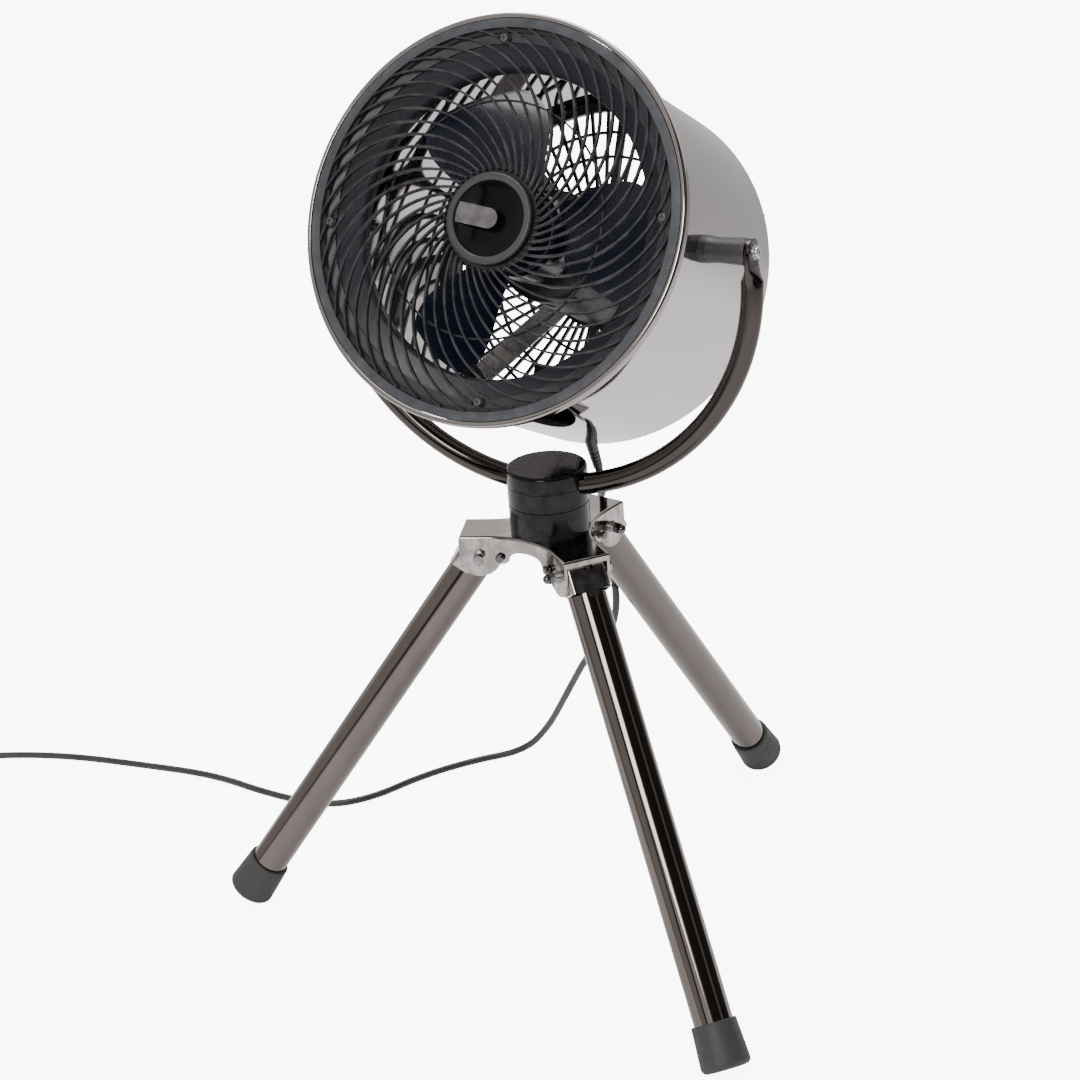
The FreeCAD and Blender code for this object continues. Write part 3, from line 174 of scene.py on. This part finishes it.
def make_light():
    """Soft studio light. Mirrors see a dim room, with bright panels to the left and behind."""
    world = bpy.data.worlds.new("studio")
    bpy.context.scene.world = world
    world.use_nodes = True
    tree = world.node_tree
    pale = tree.nodes["Background"]
    pale.inputs["Color"].default_value = (1.0, 1.0, 1.0, 1.0)
    rays = add(tree, "ShaderNodeLightPath")
    seen = spread(tree, rays.outputs["Is Camera Ray"], 0.0, 1.0, 1.0, PAPER_SEEN)
    tree.links.new(seen, pale.inputs["Strength"])
    direction = add(tree, "ShaderNodeTexCoord").outputs["Generated"]
    side = level_part(tree, direction, VIEW_SIDE)
    back = level_part(tree, direction, VIEW_BACK)
    bearing = combined(tree, "ARCTAN2", side, combined(tree, "MULTIPLY", back, -1.0))
    height = add(tree, "ShaderNodeSeparateXYZ")
    tree.links.new(direction, height.inputs["Vector"])
    ramp = add(tree, "ShaderNodeValToRGB")
    ramp.color_ramp.interpolation = "LINEAR"
    tree.links.new(spread(tree, bearing, -math.pi, math.pi, 0.0, 1.0), ramp.inputs["Fac"])
    # bearings in degrees from the camera's side, to the right of the picture, and what is there
    stops = [(-180, 0.92), (-125, 0.85), (-118, 0.55), (-62, 0.60), (-47, 0.55), (-44, 0.04),
             (-39, 0.03), (-36, 1.0), (-8, 1.0), (-4, 0.05), (54, 0.035), (59, 0.30), (66, 0.30),
             (71, 0.04), (112, 0.06), (128, 0.75), (180, 0.92)]
    table = ramp.color_ramp.elements
    for i, (degrees, value) in enumerate(stops):
        place = (degrees + 180) / 360
        element = table[i] if i < 2 else table.new(place)
        element.position = place
        element.color = (value, value * 0.97, value * 0.95, 1.0)
    above = spread(tree, height.outputs["Z"], 0.80, 0.93, 0.0, 1.0)
    colour = mixed(tree, above, ramp.outputs["Color"], (0.75, 0.74, 0.73))
    room = add(tree, "ShaderNodeBackground")
    tree.links.new(colour, room.inputs["Color"])
    room.inputs["Strength"].default_value = ROOM_STRENGTH
    mix = add(tree, "ShaderNodeMixShader")
    tree.links.new(rays.outputs["Is Glossy Ray"], mix.inputs["Fac"])
    tree.links.new(pale.outputs["Background"], mix.inputs[1])
    tree.links.new(room.outputs["Background"], mix.inputs[2])
    output = next(n for n in tree.nodes if n.type == "OUTPUT_WORLD")
    tree.links.new(mix.outputs["Shader"], output.inputs["Surface"])

    soft_box("key", (-2.0, -2.2, 2.4), (0, 0, 0.4), 1.2, KEY_WATTS)
    soft_box("top", (0.2, 0.5, 3.0), (0, 0, 0.3), 1.6, TOP_WATTS)


def soft_box(name, place, target, size, power):
    data = bpy.data.lights.new(name, "AREA")
    data.shape = "RECTANGLE"
    data.size = size
    data.size_y = size
    data.energy = power
    light = bpy.data.objects.new(name, data)
    light.location = place
    light.rotation_mode = "QUATERNION"
    light.rotation_quaternion = (Vector(target) - Vector(place)).to_track_quat("-Z", "Y")
    bpy.context.collection.objects.link(light)


# ---- materials ------------------------------------------------------------------------------


def add(tree, kind, **settings):
    node = tree.nodes.new(kind)
    for key, value in settings.items():
        setattr(node, key, value)
    return node


def noise(tree, coordinates, scale, detail=4.0, rough=0.5):
    node = add(tree, "ShaderNodeTexNoise")
    node.inputs["Scale"].default_value = scale
    node.inputs["Detail"].default_value = detail
    node.inputs["Roughness"].default_value = rough
    tree.links.new(coordinates, node.inputs["Vector"])
    return node.outputs["Fac"]


def spread(tree, value, low, high, to_low, to_high):
    """Maps a value between two limits to another range."""
    node = add(tree, "ShaderNodeMapRange")
    node.inputs["From Min"].default_value = low
    node.inputs["From Max"].default_value = high
    node.inputs["To Min"].default_value = to_low
    node.inputs["To Max"].default_value = to_high
    tree.links.new(value, node.inputs["Value"])
    return node.outputs["Result"]


def mixed(tree, factor, first, second):
    """A colour between two, where each is a colour or a socket."""
    node = add(tree, "ShaderNodeMix", data_type="RGBA")
    tree.links.new(factor, node.inputs["Factor"])
    for socket, value in ((node.inputs["A"], first), (node.inputs["B"], second)):
        if isinstance(value, bpy.types.NodeSocket):
            tree.links.new(value, socket)
        else:
            socket.default_value = (*value, 1.0)
    return node.outputs["Result"]


def combined(tree, operation, first, second):
    node = add(tree, "ShaderNodeMath", operation=operation)
    for socket, value in zip(node.inputs, (first, second)):
        if isinstance(value, bpy.types.NodeSocket):
            tree.links.new(value, socket)
        else:
            socket.default_value = value
    return node.outputs["Value"]


def object_space(tree, rotation=(0, 0, 0), scale=(1, 1, 1)):
    coordinates = add(tree, "ShaderNodeTexCoord").outputs["Object"]
    mapping = add(tree, "ShaderNodeMapping")
    mapping.inputs["Rotation"].default_value = rotation
    mapping.inputs["Scale"].default_value = scale
    tree.links.new(coordinates, mapping.inputs["Vector"])
    return mapping.outputs["Vector"]


def edge_wear(tree, low=0.52, high=0.60):
    pointiness = add(tree, "ShaderNodeNewGeometry").outputs["Pointiness"]
    return spread(tree, pointiness, low, high, 0.0, 1.0)


WORN_ROUGHER = 0.12


def finish_of(name, base, other, metallic, roughness, rough_step, tone_scale=6.0, fine_scale=240.0,
              bump=0.05, bump_scale=900.0, bump_depth=0.0002, wear=None, wear_amount=0.5, coat=0.0,
              coat_roughness=0.05, specular=0.5, space=None, smudge_scale=22.0):
    """A surface whose tone, gloss and grain vary, with edges that are worn a little."""
    material = bpy.data.materials.new(name)
    tree, shader = nodes_of(material)
    shader.inputs["Metallic"].default_value = metallic
    shader.inputs["Specular IOR Level"].default_value = specular
    shader.inputs["Coat Weight"].default_value = coat
    shader.inputs["Coat Roughness"].default_value = coat_roughness
    rotation, scale = space if space else ((0, 0, 0), (1, 1, 1))
    where = object_space(tree, rotation, scale)
    plain = object_space(tree)
    tone = spread(tree, noise(tree, where, tone_scale, 5.0), 0.3, 0.7, 0.0, 1.0)
    colour = mixed(tree, tone, base, other)
    smudge = spread(tree, noise(tree, plain, smudge_scale, 6.0, 0.62), 0.35, 0.75, 0.0, 1.0)
    fine = spread(tree, noise(tree, where, fine_scale, 2.0), 0.3, 0.7, -0.5, 0.5)
    gloss = combined(tree, "MULTIPLY", smudge, rough_step)
    gloss = combined(tree, "ADD", gloss, roughness)
    gloss = combined(tree, "ADD", gloss, combined(tree, "MULTIPLY", fine, rough_step * 0.5))
    if wear:
        worn = edge_wear(tree)
        patches = spread(tree, noise(tree, plain, 90.0, 3.0), 0.35, 0.7, 0.0, wear_amount)
        patchy = combined(tree, "MULTIPLY", worn, patches)
        colour = mixed(tree, patchy, colour, wear)
        gloss = combined(tree, "ADD", gloss, combined(tree, "MULTIPLY", patchy, WORN_ROUGHER))
    tree.links.new(colour, shader.inputs["Base Color"])
    tree.links.new(gloss, shader.inputs["Roughness"])
    grain = noise(tree, where, bump_scale, 3.0)
    relief = add(tree, "ShaderNodeBump")
    relief.inputs["Strength"].default_value = bump
    relief.inputs["Distance"].default_value = bump_depth
    tree.links.new(grain, relief.inputs["Height"])
    tree.links.new(relief.outputs["Normal"], shader.inputs["Normal"])
    return material


def drum_plating():
    """Nickel polished to a mirror, on rolled sheet that is not quite true."""
    return finish_of("drum_plating", (0.43, 0.385, 0.396), (0.405, 0.362, 0.372), 1.0, 0.022, 0.03,
                     tone_scale=3.0, fine_scale=90.0, bump=0.22, bump_scale=6.0, bump_depth=0.0012,
                     smudge_scale=9.0)


def rim_plating():
    return finish_of("rim_plating", (0.30, 0.270, 0.262), (0.26, 0.235, 0.228), 1.0, 0.05, 0.05,
                     bump=0.08, bump_scale=60.0, bump_depth=0.0003, wear=(0.55, 0.53, 0.51),
                     wear_amount=0.3)


def bright_chrome():
    return finish_of("bright_chrome", (0.60, 0.60, 0.61), (0.50, 0.50, 0.51), 1.0, 0.10, 0.08,
                     bump=0.1, bump_scale=140.0, bump_depth=0.0002, wear=(0.75, 0.75, 0.74))


def dark_chrome():
    """The blackened bolts and dome nuts of the hinges."""
    return finish_of("dark_chrome", (0.13, 0.125, 0.125), (0.09, 0.087, 0.087), 1.0, 0.14, 0.10,
                     bump=0.12, bump_scale=160.0, bump_depth=0.0002, wear=(0.5, 0.49, 0.48),
                     wear_amount=0.8)


def leg_plating(name, direction, tone=(0.140, 0.120, 0.110)):
    """Gunmetal plated tube, with the faint lengthwise lines of its polishing. The yoke's copy gets
    a darker tone, which is painted shade for the dark surroundings it mirrors.
    """
    turn = Vector(direction).rotation_difference(Vector((0, 0, 1))).to_euler()
    darker = tuple(0.89 * part for part in tone)
    return finish_of(name, tone, darker, 1.0, 0.045, 0.05, tone_scale=40.0, fine_scale=300.0,
                     bump=0.10, bump_scale=260.0, bump_depth=0.00008,
                     space=(tuple(turn), (1.0, 1.0, 0.02)))


def head_plating():
    return finish_of("head_plating", (0.24, 0.216, 0.208), (0.205, 0.184, 0.177), 1.0, 0.06, 0.07,
                     tone_scale=18.0, bump=0.12, bump_scale=50.0, bump_depth=0.0003,
                     wear=(0.62, 0.60, 0.57), wear_amount=0.7)


def bezel_plastic():
    return finish_of("bezel_plastic", (0.030, 0.031, 0.038), (0.024, 0.025, 0.030), 0.0, 0.34, 0.10,
                     bump=0.35, bump_scale=1500.0, bump_depth=0.00008, wear=(0.09, 0.09, 0.095),
                     wear_amount=0.4)


def grille_plastic():
    return finish_of("grille_plastic", (0.008, 0.0085, 0.010), (0.005, 0.0055, 0.006), 0.0, 0.24,
                     0.10, specular=0.4, bump=0.3, bump_scale=1400.0, bump_depth=0.00006,
                     wear=(0.07, 0.07, 0.075), wear_amount=0.4)


def hub_gloss():
    """Deep black moulding, with the fine line where the hub's cap meets its shell."""
    material = finish_of("hub_gloss", (0.003, 0.0032, 0.005), (0.006, 0.006, 0.008), 0.0, 0.09,
                         0.10, bump=0.06, bump_scale=40.0, bump_depth=0.0004,
                         wear=(0.05, 0.05, 0.05), wear_amount=0.3, specular=0.16)
    tree, shader = nodes_of(material)
    height = add(tree, "ShaderNodeSeparateXYZ")
    tree.links.new(add(tree, "ShaderNodeTexCoord").outputs["Object"], height.inputs["Vector"])
    over_seam = combined(tree, "SUBTRACT", height.outputs["Z"], HUB_SEAM_Z)
    off_seam = combined(tree, "ABSOLUTE", over_seam, 0.0)
    groove = add(tree, "ShaderNodeBump")
    groove.inputs["Distance"].default_value = 0.0006
    tree.links.new(spread(tree, off_seam, 0.0003, 0.0009, 0.0, 1.0), groove.inputs["Height"])
    tree.links.new(shader.inputs["Normal"].links[0].from_socket, groove.inputs["Normal"])
    tree.links.new(groove.outputs["Normal"], shader.inputs["Normal"])
    return material


def badge_gloss():
    return finish_of("badge_gloss", (0.002, 0.002, 0.0025), (0.003, 0.003, 0.0035), 0.0, 0.10, 0.06,
                     specular=0.12, bump=0.05, bump_scale=60.0, bump_depth=0.0003)


def badge_plate():
    """The dark satin plate across the badge."""
    return finish_of("badge_plate", (0.10, 0.092, 0.09), (0.08, 0.074, 0.072), 0.6, 0.32, 0.08,
                     bump=0.25, bump_scale=900.0, bump_depth=0.00006, wear=(0.22, 0.21, 0.21))


def blade_plastic():
    return finish_of("blade_plastic", (0.005, 0.007, 0.018), (0.008, 0.010, 0.023), 0.0, 0.16, 0.10,
                     bump=0.1, bump_scale=90.0, bump_depth=0.0003, wear=(0.05, 0.05, 0.07),
                     wear_amount=0.4)


def foot_rubber():
    return finish_of("foot_rubber", (0.016, 0.016, 0.017), (0.028, 0.028, 0.029), 0.0, 0.55, 0.20,
                     bump=0.5, bump_scale=700.0, bump_depth=0.00025, wear=(0.10, 0.10, 0.10),
                     wear_amount=0.6)


def guard_plastic():
    return finish_of("guard_plastic", (0.018, 0.018, 0.019), (0.026, 0.026, 0.028), 0.0, 0.38, 0.14,
                     bump=0.4, bump_scale=1300.0, bump_depth=0.00008, wear=(0.09, 0.09, 0.09))


def zinc_steel():
    return finish_of("zinc_steel", (0.52, 0.52, 0.50), (0.40, 0.40, 0.39), 1.0, 0.26, 0.16,
                     tone_scale=60.0, bump=0.3, bump_scale=500.0, bump_depth=0.0001,
                     wear=(0.75, 0.74, 0.70))


def motor_paint():
    return finish_of("motor_paint", (0.035, 0.035, 0.038), (0.05, 0.05, 0.053), 0.0, 0.38, 0.15,
                     bump=0.5, bump_scale=500.0, bump_depth=0.00012, wear=(0.30, 0.29, 0.27),
                     wear_amount=0.5)


def lamination():
    return finish_of("lamination", (0.25, 0.25, 0.26), (0.14, 0.14, 0.15), 1.0, 0.35, 0.15,
                     tone_scale=120.0, bump=0.4, bump_scale=900.0, bump_depth=0.0002)


def copper():
    return finish_of("copper", (0.48, 0.20, 0.09), (0.34, 0.13, 0.06), 0.9, 0.28, 0.12,
                     tone_scale=200.0, bump=0.6, bump_scale=800.0, bump_depth=0.0003)


def natural_nylon():
    return finish_of("natural_nylon", (0.62, 0.60, 0.54), (0.52, 0.50, 0.45), 0.0, 0.45, 0.12,
                     bump=0.2, bump_scale=900.0, bump_depth=0.0001)


def cord_sheath():
    return finish_of("cord_sheath", (0.012, 0.012, 0.013), (0.022, 0.022, 0.023), 0.0, 0.36, 0.16,
                     tone_scale=30.0, bump=0.3, bump_scale=700.0, bump_depth=0.00012)


def paint():
    """Gives every CAD node its material."""
    shared = {
        bright_chrome: ["pivot_screws"],
        dark_chrome: ["hinge_bolts", "hinge_nuts", "ear_rivets"],
        head_plating: ["tripod_head", "front_leg_bracket", "right_leg_bracket", "left_leg_bracket"],
        bezel_plastic: ["front_shroud"],
        grille_plastic: ["front_grille"],
        guard_plastic: ["badge_ring", "rear_grille", "control_box", "speed_switch", "speed_knob",
                        "capacitor", "pivot_spacers", "plug"],
        hub_gloss: ["hub_base", "hub_shell", "hub_cap", "impeller_nut"],
        badge_gloss: ["badge_dish"],
        badge_plate: ["badge_tab"],
        blade_plastic: ["impeller"],
        foot_rubber: ["front_leg_foot", "right_leg_foot", "left_leg_foot"],
        zinc_steel: ["hub_base_screws", "hinge_washers", "hub_clamp_screws", "swivel_bolt",
                     "swivel_nut", "pivot_washers", "rear_grille_screws", "motor_bracket",
                     "bearings", "motor_screws", "motor_shaft", "pivot_nuts"],
        motor_paint: ["motor_rear_cover", "motor_front_cover", "grille_screws"],
        lamination: ["stator", "rotor_core"],
        copper: ["stator_coils"],
        natural_nylon: ["friction_washer", "terminal_block"],
        cord_sheath: ["strain_relief"],
    }
    for make, names in shared.items():
        material = make()
        for name in names:
            put(NODES[name], material)


def put(piece, material):
    """Puts one material in every slot of a piece."""
    if not piece.material_slots:
        piece.data.materials.append(material)
    for slot in piece.material_slots:
        slot.link = "OBJECT"
        slot.material = material


# ---- cords ----------------------------------------------------------------------------------


def spline_points(name, points):
    """Points along the NURBS spline that has the route as its control points."""
    curve = bpy.data.curves.new(name, "CURVE")
    curve.dimensions = "3D"
    spline = curve.splines.new("NURBS")
    spline.points.add(len(points) - 1)
    for target, p in zip(spline.points, points):
        target.co = (p[0], p[1], p[2], 1.0)
    spline.order_u = 3
    spline.use_endpoint_u = True
    spline.resolution_u = 10
    holder = bpy.data.objects.new(name, curve)
    mesh = bpy.data.meshes.new_from_object(holder)
    line = [v.co.copy() for v in mesh.vertices]
    bpy.data.objects.remove(holder)
    bpy.data.curves.remove(curve)
    bpy.data.meshes.remove(mesh)
    return line


def tube_mesh(name, line, radius, sides=16):
    """A round tube along a line, closed at both ends, with frames carried along without twist."""
    mesh = bpy.data.meshes.new(name)
    tool = bmesh.new()
    normal = None
    rings = []
    for i, p in enumerate(line):
        before = line[max(i - 1, 0)]
        after = line[min(i + 1, len(line) - 1)]
        tangent = (after - before).normalized()
        if normal is None:
            normal = tangent.orthogonal().normalized()
        normal = (normal - tangent * normal.dot(tangent)).normalized()
        other = tangent.cross(normal)
        ring = []
        for k in range(sides):
            a = 2 * math.pi * k / sides
            ring.append(tool.verts.new(p + (normal * math.cos(a) + other * math.sin(a)) * radius))
        rings.append(ring)
    for low, high in zip(rings, rings[1:]):
        for k in range(sides):
            face = tool.faces.new((low[k], low[(k + 1) % sides], high[(k + 1) % sides], high[k]))
            face.smooth = True
    tool.faces.new(list(reversed(rings[0])))
    tool.faces.new(rings[-1])
    tool.normal_update()
    tool.to_mesh(mesh)
    tool.free()
    piece = bpy.data.objects.new(name, mesh)
    bpy.context.collection.objects.link(piece)
    return piece


def in_drum(x, y, z):
    """A point given in the drum's own frame, in metres."""
    return PIVOT + SIDE * x + DRUM_UP * y + FORWARD * z


def on_stand(x, y, z):
    """A point given from the stand's axis at the floor, in metres."""
    return STAND + Vector((x, y, z))


GLAND_LEAN = math.radians(50.0)
GLAND_POINT = in_drum(0.015, -0.148, -0.141)
GLAND_AXIS = -DRUM_UP * math.cos(GLAND_LEAN) - FORWARD * math.sin(GLAND_LEAN)
GLAND_TIP = GLAND_POINT + GLAND_AXIS * 0.027
CORD_JOIN = on_stand(0.092, 0.092, 0.256)


def upper_route():
    middle = [on_stand(0.075, 0.074, 0.345), on_stand(0.085, 0.084, 0.300)]
    return [GLAND_TIP, GLAND_TIP + GLAND_AXIS * 0.025] + middle + [CORD_JOIN]


def lower_route():
    falling = [(0.099, 0.100, 0.212), (0.086, 0.152, 0.160), (0.081, 0.200, 0.100),
               (0.075, 0.244, 0.043), (0.060, 0.276, 0.0065)]
    lying = [(0.008, 0.288), (-0.048, 0.283), (-0.103, 0.266), (-0.149, 0.273), (-0.191, 0.324),
             (-0.229, 0.390), (-0.290, 0.449), (-0.345, 0.500), (-0.400, 0.536), (-0.450, 0.556)]
    points = [CORD_JOIN] + [on_stand(*p) for p in falling]
    return points + [on_stand(x, y, CORD_Z) for x, y in lying]


def coil_route(start, direction):
    """Two and a bit turns that rise by one diameter, then the run to the plug."""
    side = UP.cross(direction)
    middle = start + direction * 0.026 + side * COIL_R
    per_turn = 16
    turns = 2.25
    points = []
    for i in range(1, int(per_turn * turns)):
        a = 2 * math.pi * i / per_turn
        share = i / (per_turn * turns)
        radius = COIL_R + 0.0033 * math.cos(2 * math.pi * share)
        height = CORD_Z + 0.0059 * min(1.0, share * 1.15)
        p = middle - side * math.cos(a) * radius + direction * math.sin(a) * radius
        points.append(Vector((p.x, p.y, height)))
    leave = middle + direction * COIL_R
    end = [leave + side * 0.012, leave + side * 0.034]
    return points, [Vector((p.x, p.y, 0.0092)) for p in end]


def make_cords():
    upper = upper_route()
    line = spline_points("upper_line", upper)
    piece = tube_mesh("cord_upper_piece", line, CORD_D / 2)
    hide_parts("cord_upper")
    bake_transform(piece)
    lower = lower_route()
    direction = (lower[-1] - lower[-2]).normalized()
    turns, end = coil_route(lower[-1], direction)
    lower_line = spline_points("lower_line", lower + turns + end)
    tube = tube_mesh("cord_lower_piece", lower_line, CORD_D / 2)
    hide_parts("cord_lower", "cord_coil")
    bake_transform(tube)
    return piece, tube


# ---- plated pieces, finer than the CAD's meshes, so that they mirror smoothly -----------------


def through(start, middle, end, count=8):
    """Points on the round curve through three points, the first one left out."""
    (ax, ay), (bx, by), (cx, cy) = start, middle, end
    d = 2 * (ax * (by - cy) + bx * (cy - ay) + cx * (ay - by))
    a2 = ax * ax + ay * ay
    b2 = bx * bx + by * by
    c2 = cx * cx + cy * cy
    ox = (a2 * (by - cy) + b2 * (cy - ay) + c2 * (ay - by)) / d
    oy = (a2 * (cx - bx) + b2 * (ax - cx) + c2 * (bx - ax)) / d
    radius = math.hypot(ax - ox, ay - oy)
    first = math.atan2(ay - oy, ax - ox)
    second = math.atan2(by - oy, bx - ox)
    third = math.atan2(cy - oy, cx - ox)
    sweep = math.remainder(second - first, 2 * math.pi)
    sweep += math.remainder(third - second, 2 * math.pi)
    angles = [first + sweep * (i + 1) / count for i in range(count)]
    return [(ox + radius * math.cos(a), oy + radius * math.sin(a)) for a in angles]


def outline(steps):
    """A closed outline from points and ("arc", middle, end) steps, all in millimetres."""
    points = []
    for step in steps:
        if step[0] == "arc":
            points += through(points[-1], step[1], step[2])
        else:
            points.append(step)
    return points


def rings_piece(name, rings, closed):
    """A skin over rings of points. The run of rings is either closed round on itself or capped."""
    tool = bmesh.new()
    rows = [[tool.verts.new(p) for p in ring] for ring in rings]
    pairs = list(zip(rows, rows[1:]))
    if closed:
        pairs.append((rows[-1], rows[0]))
    else:
        tool.faces.new(rows[0])
        tool.faces.new(rows[-1])
    for here, there in pairs:
        for i in range(len(here)):
            j = (i + 1) % len(here)
            tool.faces.new((here[i], here[j], there[j], there[i]))
    bmesh.ops.recalc_face_normals(tool, faces=tool.faces)
    for face in tool.faces:
        face.smooth = True
    mesh = bpy.data.meshes.new(name)
    tool.to_mesh(mesh)
    tool.free()
    mesh.set_sharp_from_angle(angle=math.radians(38))
    piece = bpy.data.objects.new(name, mesh)
    bpy.context.collection.objects.link(piece)
    return piece


def turned_piece(name, steps, origin, axis, count=256):
    """An outline of (radius, distance along), in millimetres, turned round an axis."""
    across = axis.orthogonal().normalized()
    other = axis.cross(across)
    points = [(r / 1000, z / 1000) for r, z in outline(steps)]
    rings = []
    for k in range(count):
        a = 2 * math.pi * k / count
        out = across * math.cos(a) + other * math.sin(a)
        rings.append([origin + out * r + axis * z for r, z in points])
    return rings_piece(name, rings, True)


def stands_for(piece, node, body, material):
    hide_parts(node)
    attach(piece, body)
    put(piece, material)


def make_drum_skin():
    """The rolled drum, from its rear flange to the flare under the rim."""
    steps = [(148.0, -152.6), (148.0, 48.0), ("arc", (150.6, 58.5), (157.0, 66.0)), (155.8, 66.6),
             ("arc", (149.5, 59.2), (146.8, 48.0)), (146.8, -152.7),
             ("arc", (146.5, -153.3), (145.9, -153.5)), (143.0, -153.5), (143.0, -154.7),
             (146.0, -154.7), ("arc", (147.4, -154.1), (147.98, -152.8))]
    skin = turned_piece("drum_skin", steps, PIVOT, FORWARD)
    stands_for(skin, "drum_shell", "drum", drum_plating())


def make_rim_bead():
    steps = [(157.2, 65.0), (159.8, 64.0), ("arc", (161.2, 65.1), (161.4, 66.5)), (161.4, 71.3),
             ("arc", (160.6, 72.9), (159.0, 73.5)), (158.2, 73.5),
             ("arc", (157.5, 73.2), (157.2, 72.5))]
    bead = turned_piece("rim_bead", steps, PIVOT, FORWARD)
    stands_for(bead, "front_rim", "drum", rim_plating())


def make_leg_tubes():
    for i, name in enumerate(LEG_NAMES):
        turn = math.radians(120 * i)
        outwards = Vector((math.sin(turn), -math.cos(turn), 0))
        direction = outwards * LEG_OUTWARDS - UP * LEG_DOWN
        hinge = Vector(JOINTS[name + "_leg_fold"]["pos_m"])
        steps = [(14.5, -6.0), (16.0, -6.0), (16.0, 400.0), (14.5, 400.0)]
        tube = turned_piece(name + "_leg_skin", steps, hinge, direction.normalized(), 96)
        material = leg_plating(name + "_leg_plating", direction)
        stands_for(tube, name + "_leg_tube", name + "_leg", material)


def yoke_ring(centre, out, half_out, half_level, power, sides=48):
    """One closed section of the yoke: round where the power is 2, and squarer as it grows."""
    ring = []
    for k in range(sides):
        a = 2 * math.pi * k / sides
        c = math.copysign(abs(math.cos(a)) ** (2 / power), math.cos(a))
        s = math.copysign(abs(math.sin(a)) ** (2 / power), math.sin(a))
        ring.append(centre + out * (half_out * c) + LEVEL_FORWARD * (half_level * s))
    return ring


def yoke_end_rings(sign):
    """From the round tube up to the flattened, rounded tongue at the pivot."""
    rings = []
    x = SIDE * (sign * YOKE_R)
    for i in range(1, 9):
        share = i / 8
        y = YOKE_CENTRE_Y + share * (-0.012 - YOKE_CENTRE_Y)
        half_out = YOKE_TUBE_R + share * (TONGUE_HALF_T - YOKE_TUBE_R)
        half_level = YOKE_TUBE_R + share * (TONGUE_R - 0.0002 - YOKE_TUBE_R)
        power = 2 + 4 * share ** 3
        rings.append(yoke_ring(PIVOT + x + UP * y, SIDE * sign, half_out, half_level, power))
    for i in range(12):
        bend = math.radians(88 * i / 11)
        centre = PIVOT + x + UP * (TONGUE_R * math.sin(bend))
        half_level = TONGUE_R * math.cos(bend)
        rings.append(yoke_ring(centre, SIDE * sign, TONGUE_HALF_T, half_level, 8))
    return rings


def make_yoke_skin():
    """One bent tube with pressed ends."""
    rings = list(reversed(yoke_end_rings(-1)))
    for i in range(129):
        a = math.pi * (1 + i / 128)
        out = SIDE * math.cos(a) + UP * math.sin(a)
        centre = PIVOT + UP * YOKE_CENTRE_Y + out * YOKE_R
        rings.append(yoke_ring(centre, out, YOKE_TUBE_R, YOKE_TUBE_R, 2))
    rings += yoke_end_rings(1)
    skin = rings_piece("yoke_skin", rings, False)
    # painted shade: the yoke gets the legs' plating at about half their tone, darkened to stand in
    # for the dark surroundings its mirror finish shows
    material = leg_plating("yoke_plating_painted_shade", (0, 0, 1), (0.066, 0.056, 0.052))
    stands_for(skin, "yoke_tube", "yoke", material)


make_camera()
make_floor()
make_light()
for cord in make_cords():
    put(cord, cord_sheath())
paint()
make_drum_skin()
make_rim_bead()
make_leg_tubes()
make_yoke_skin()
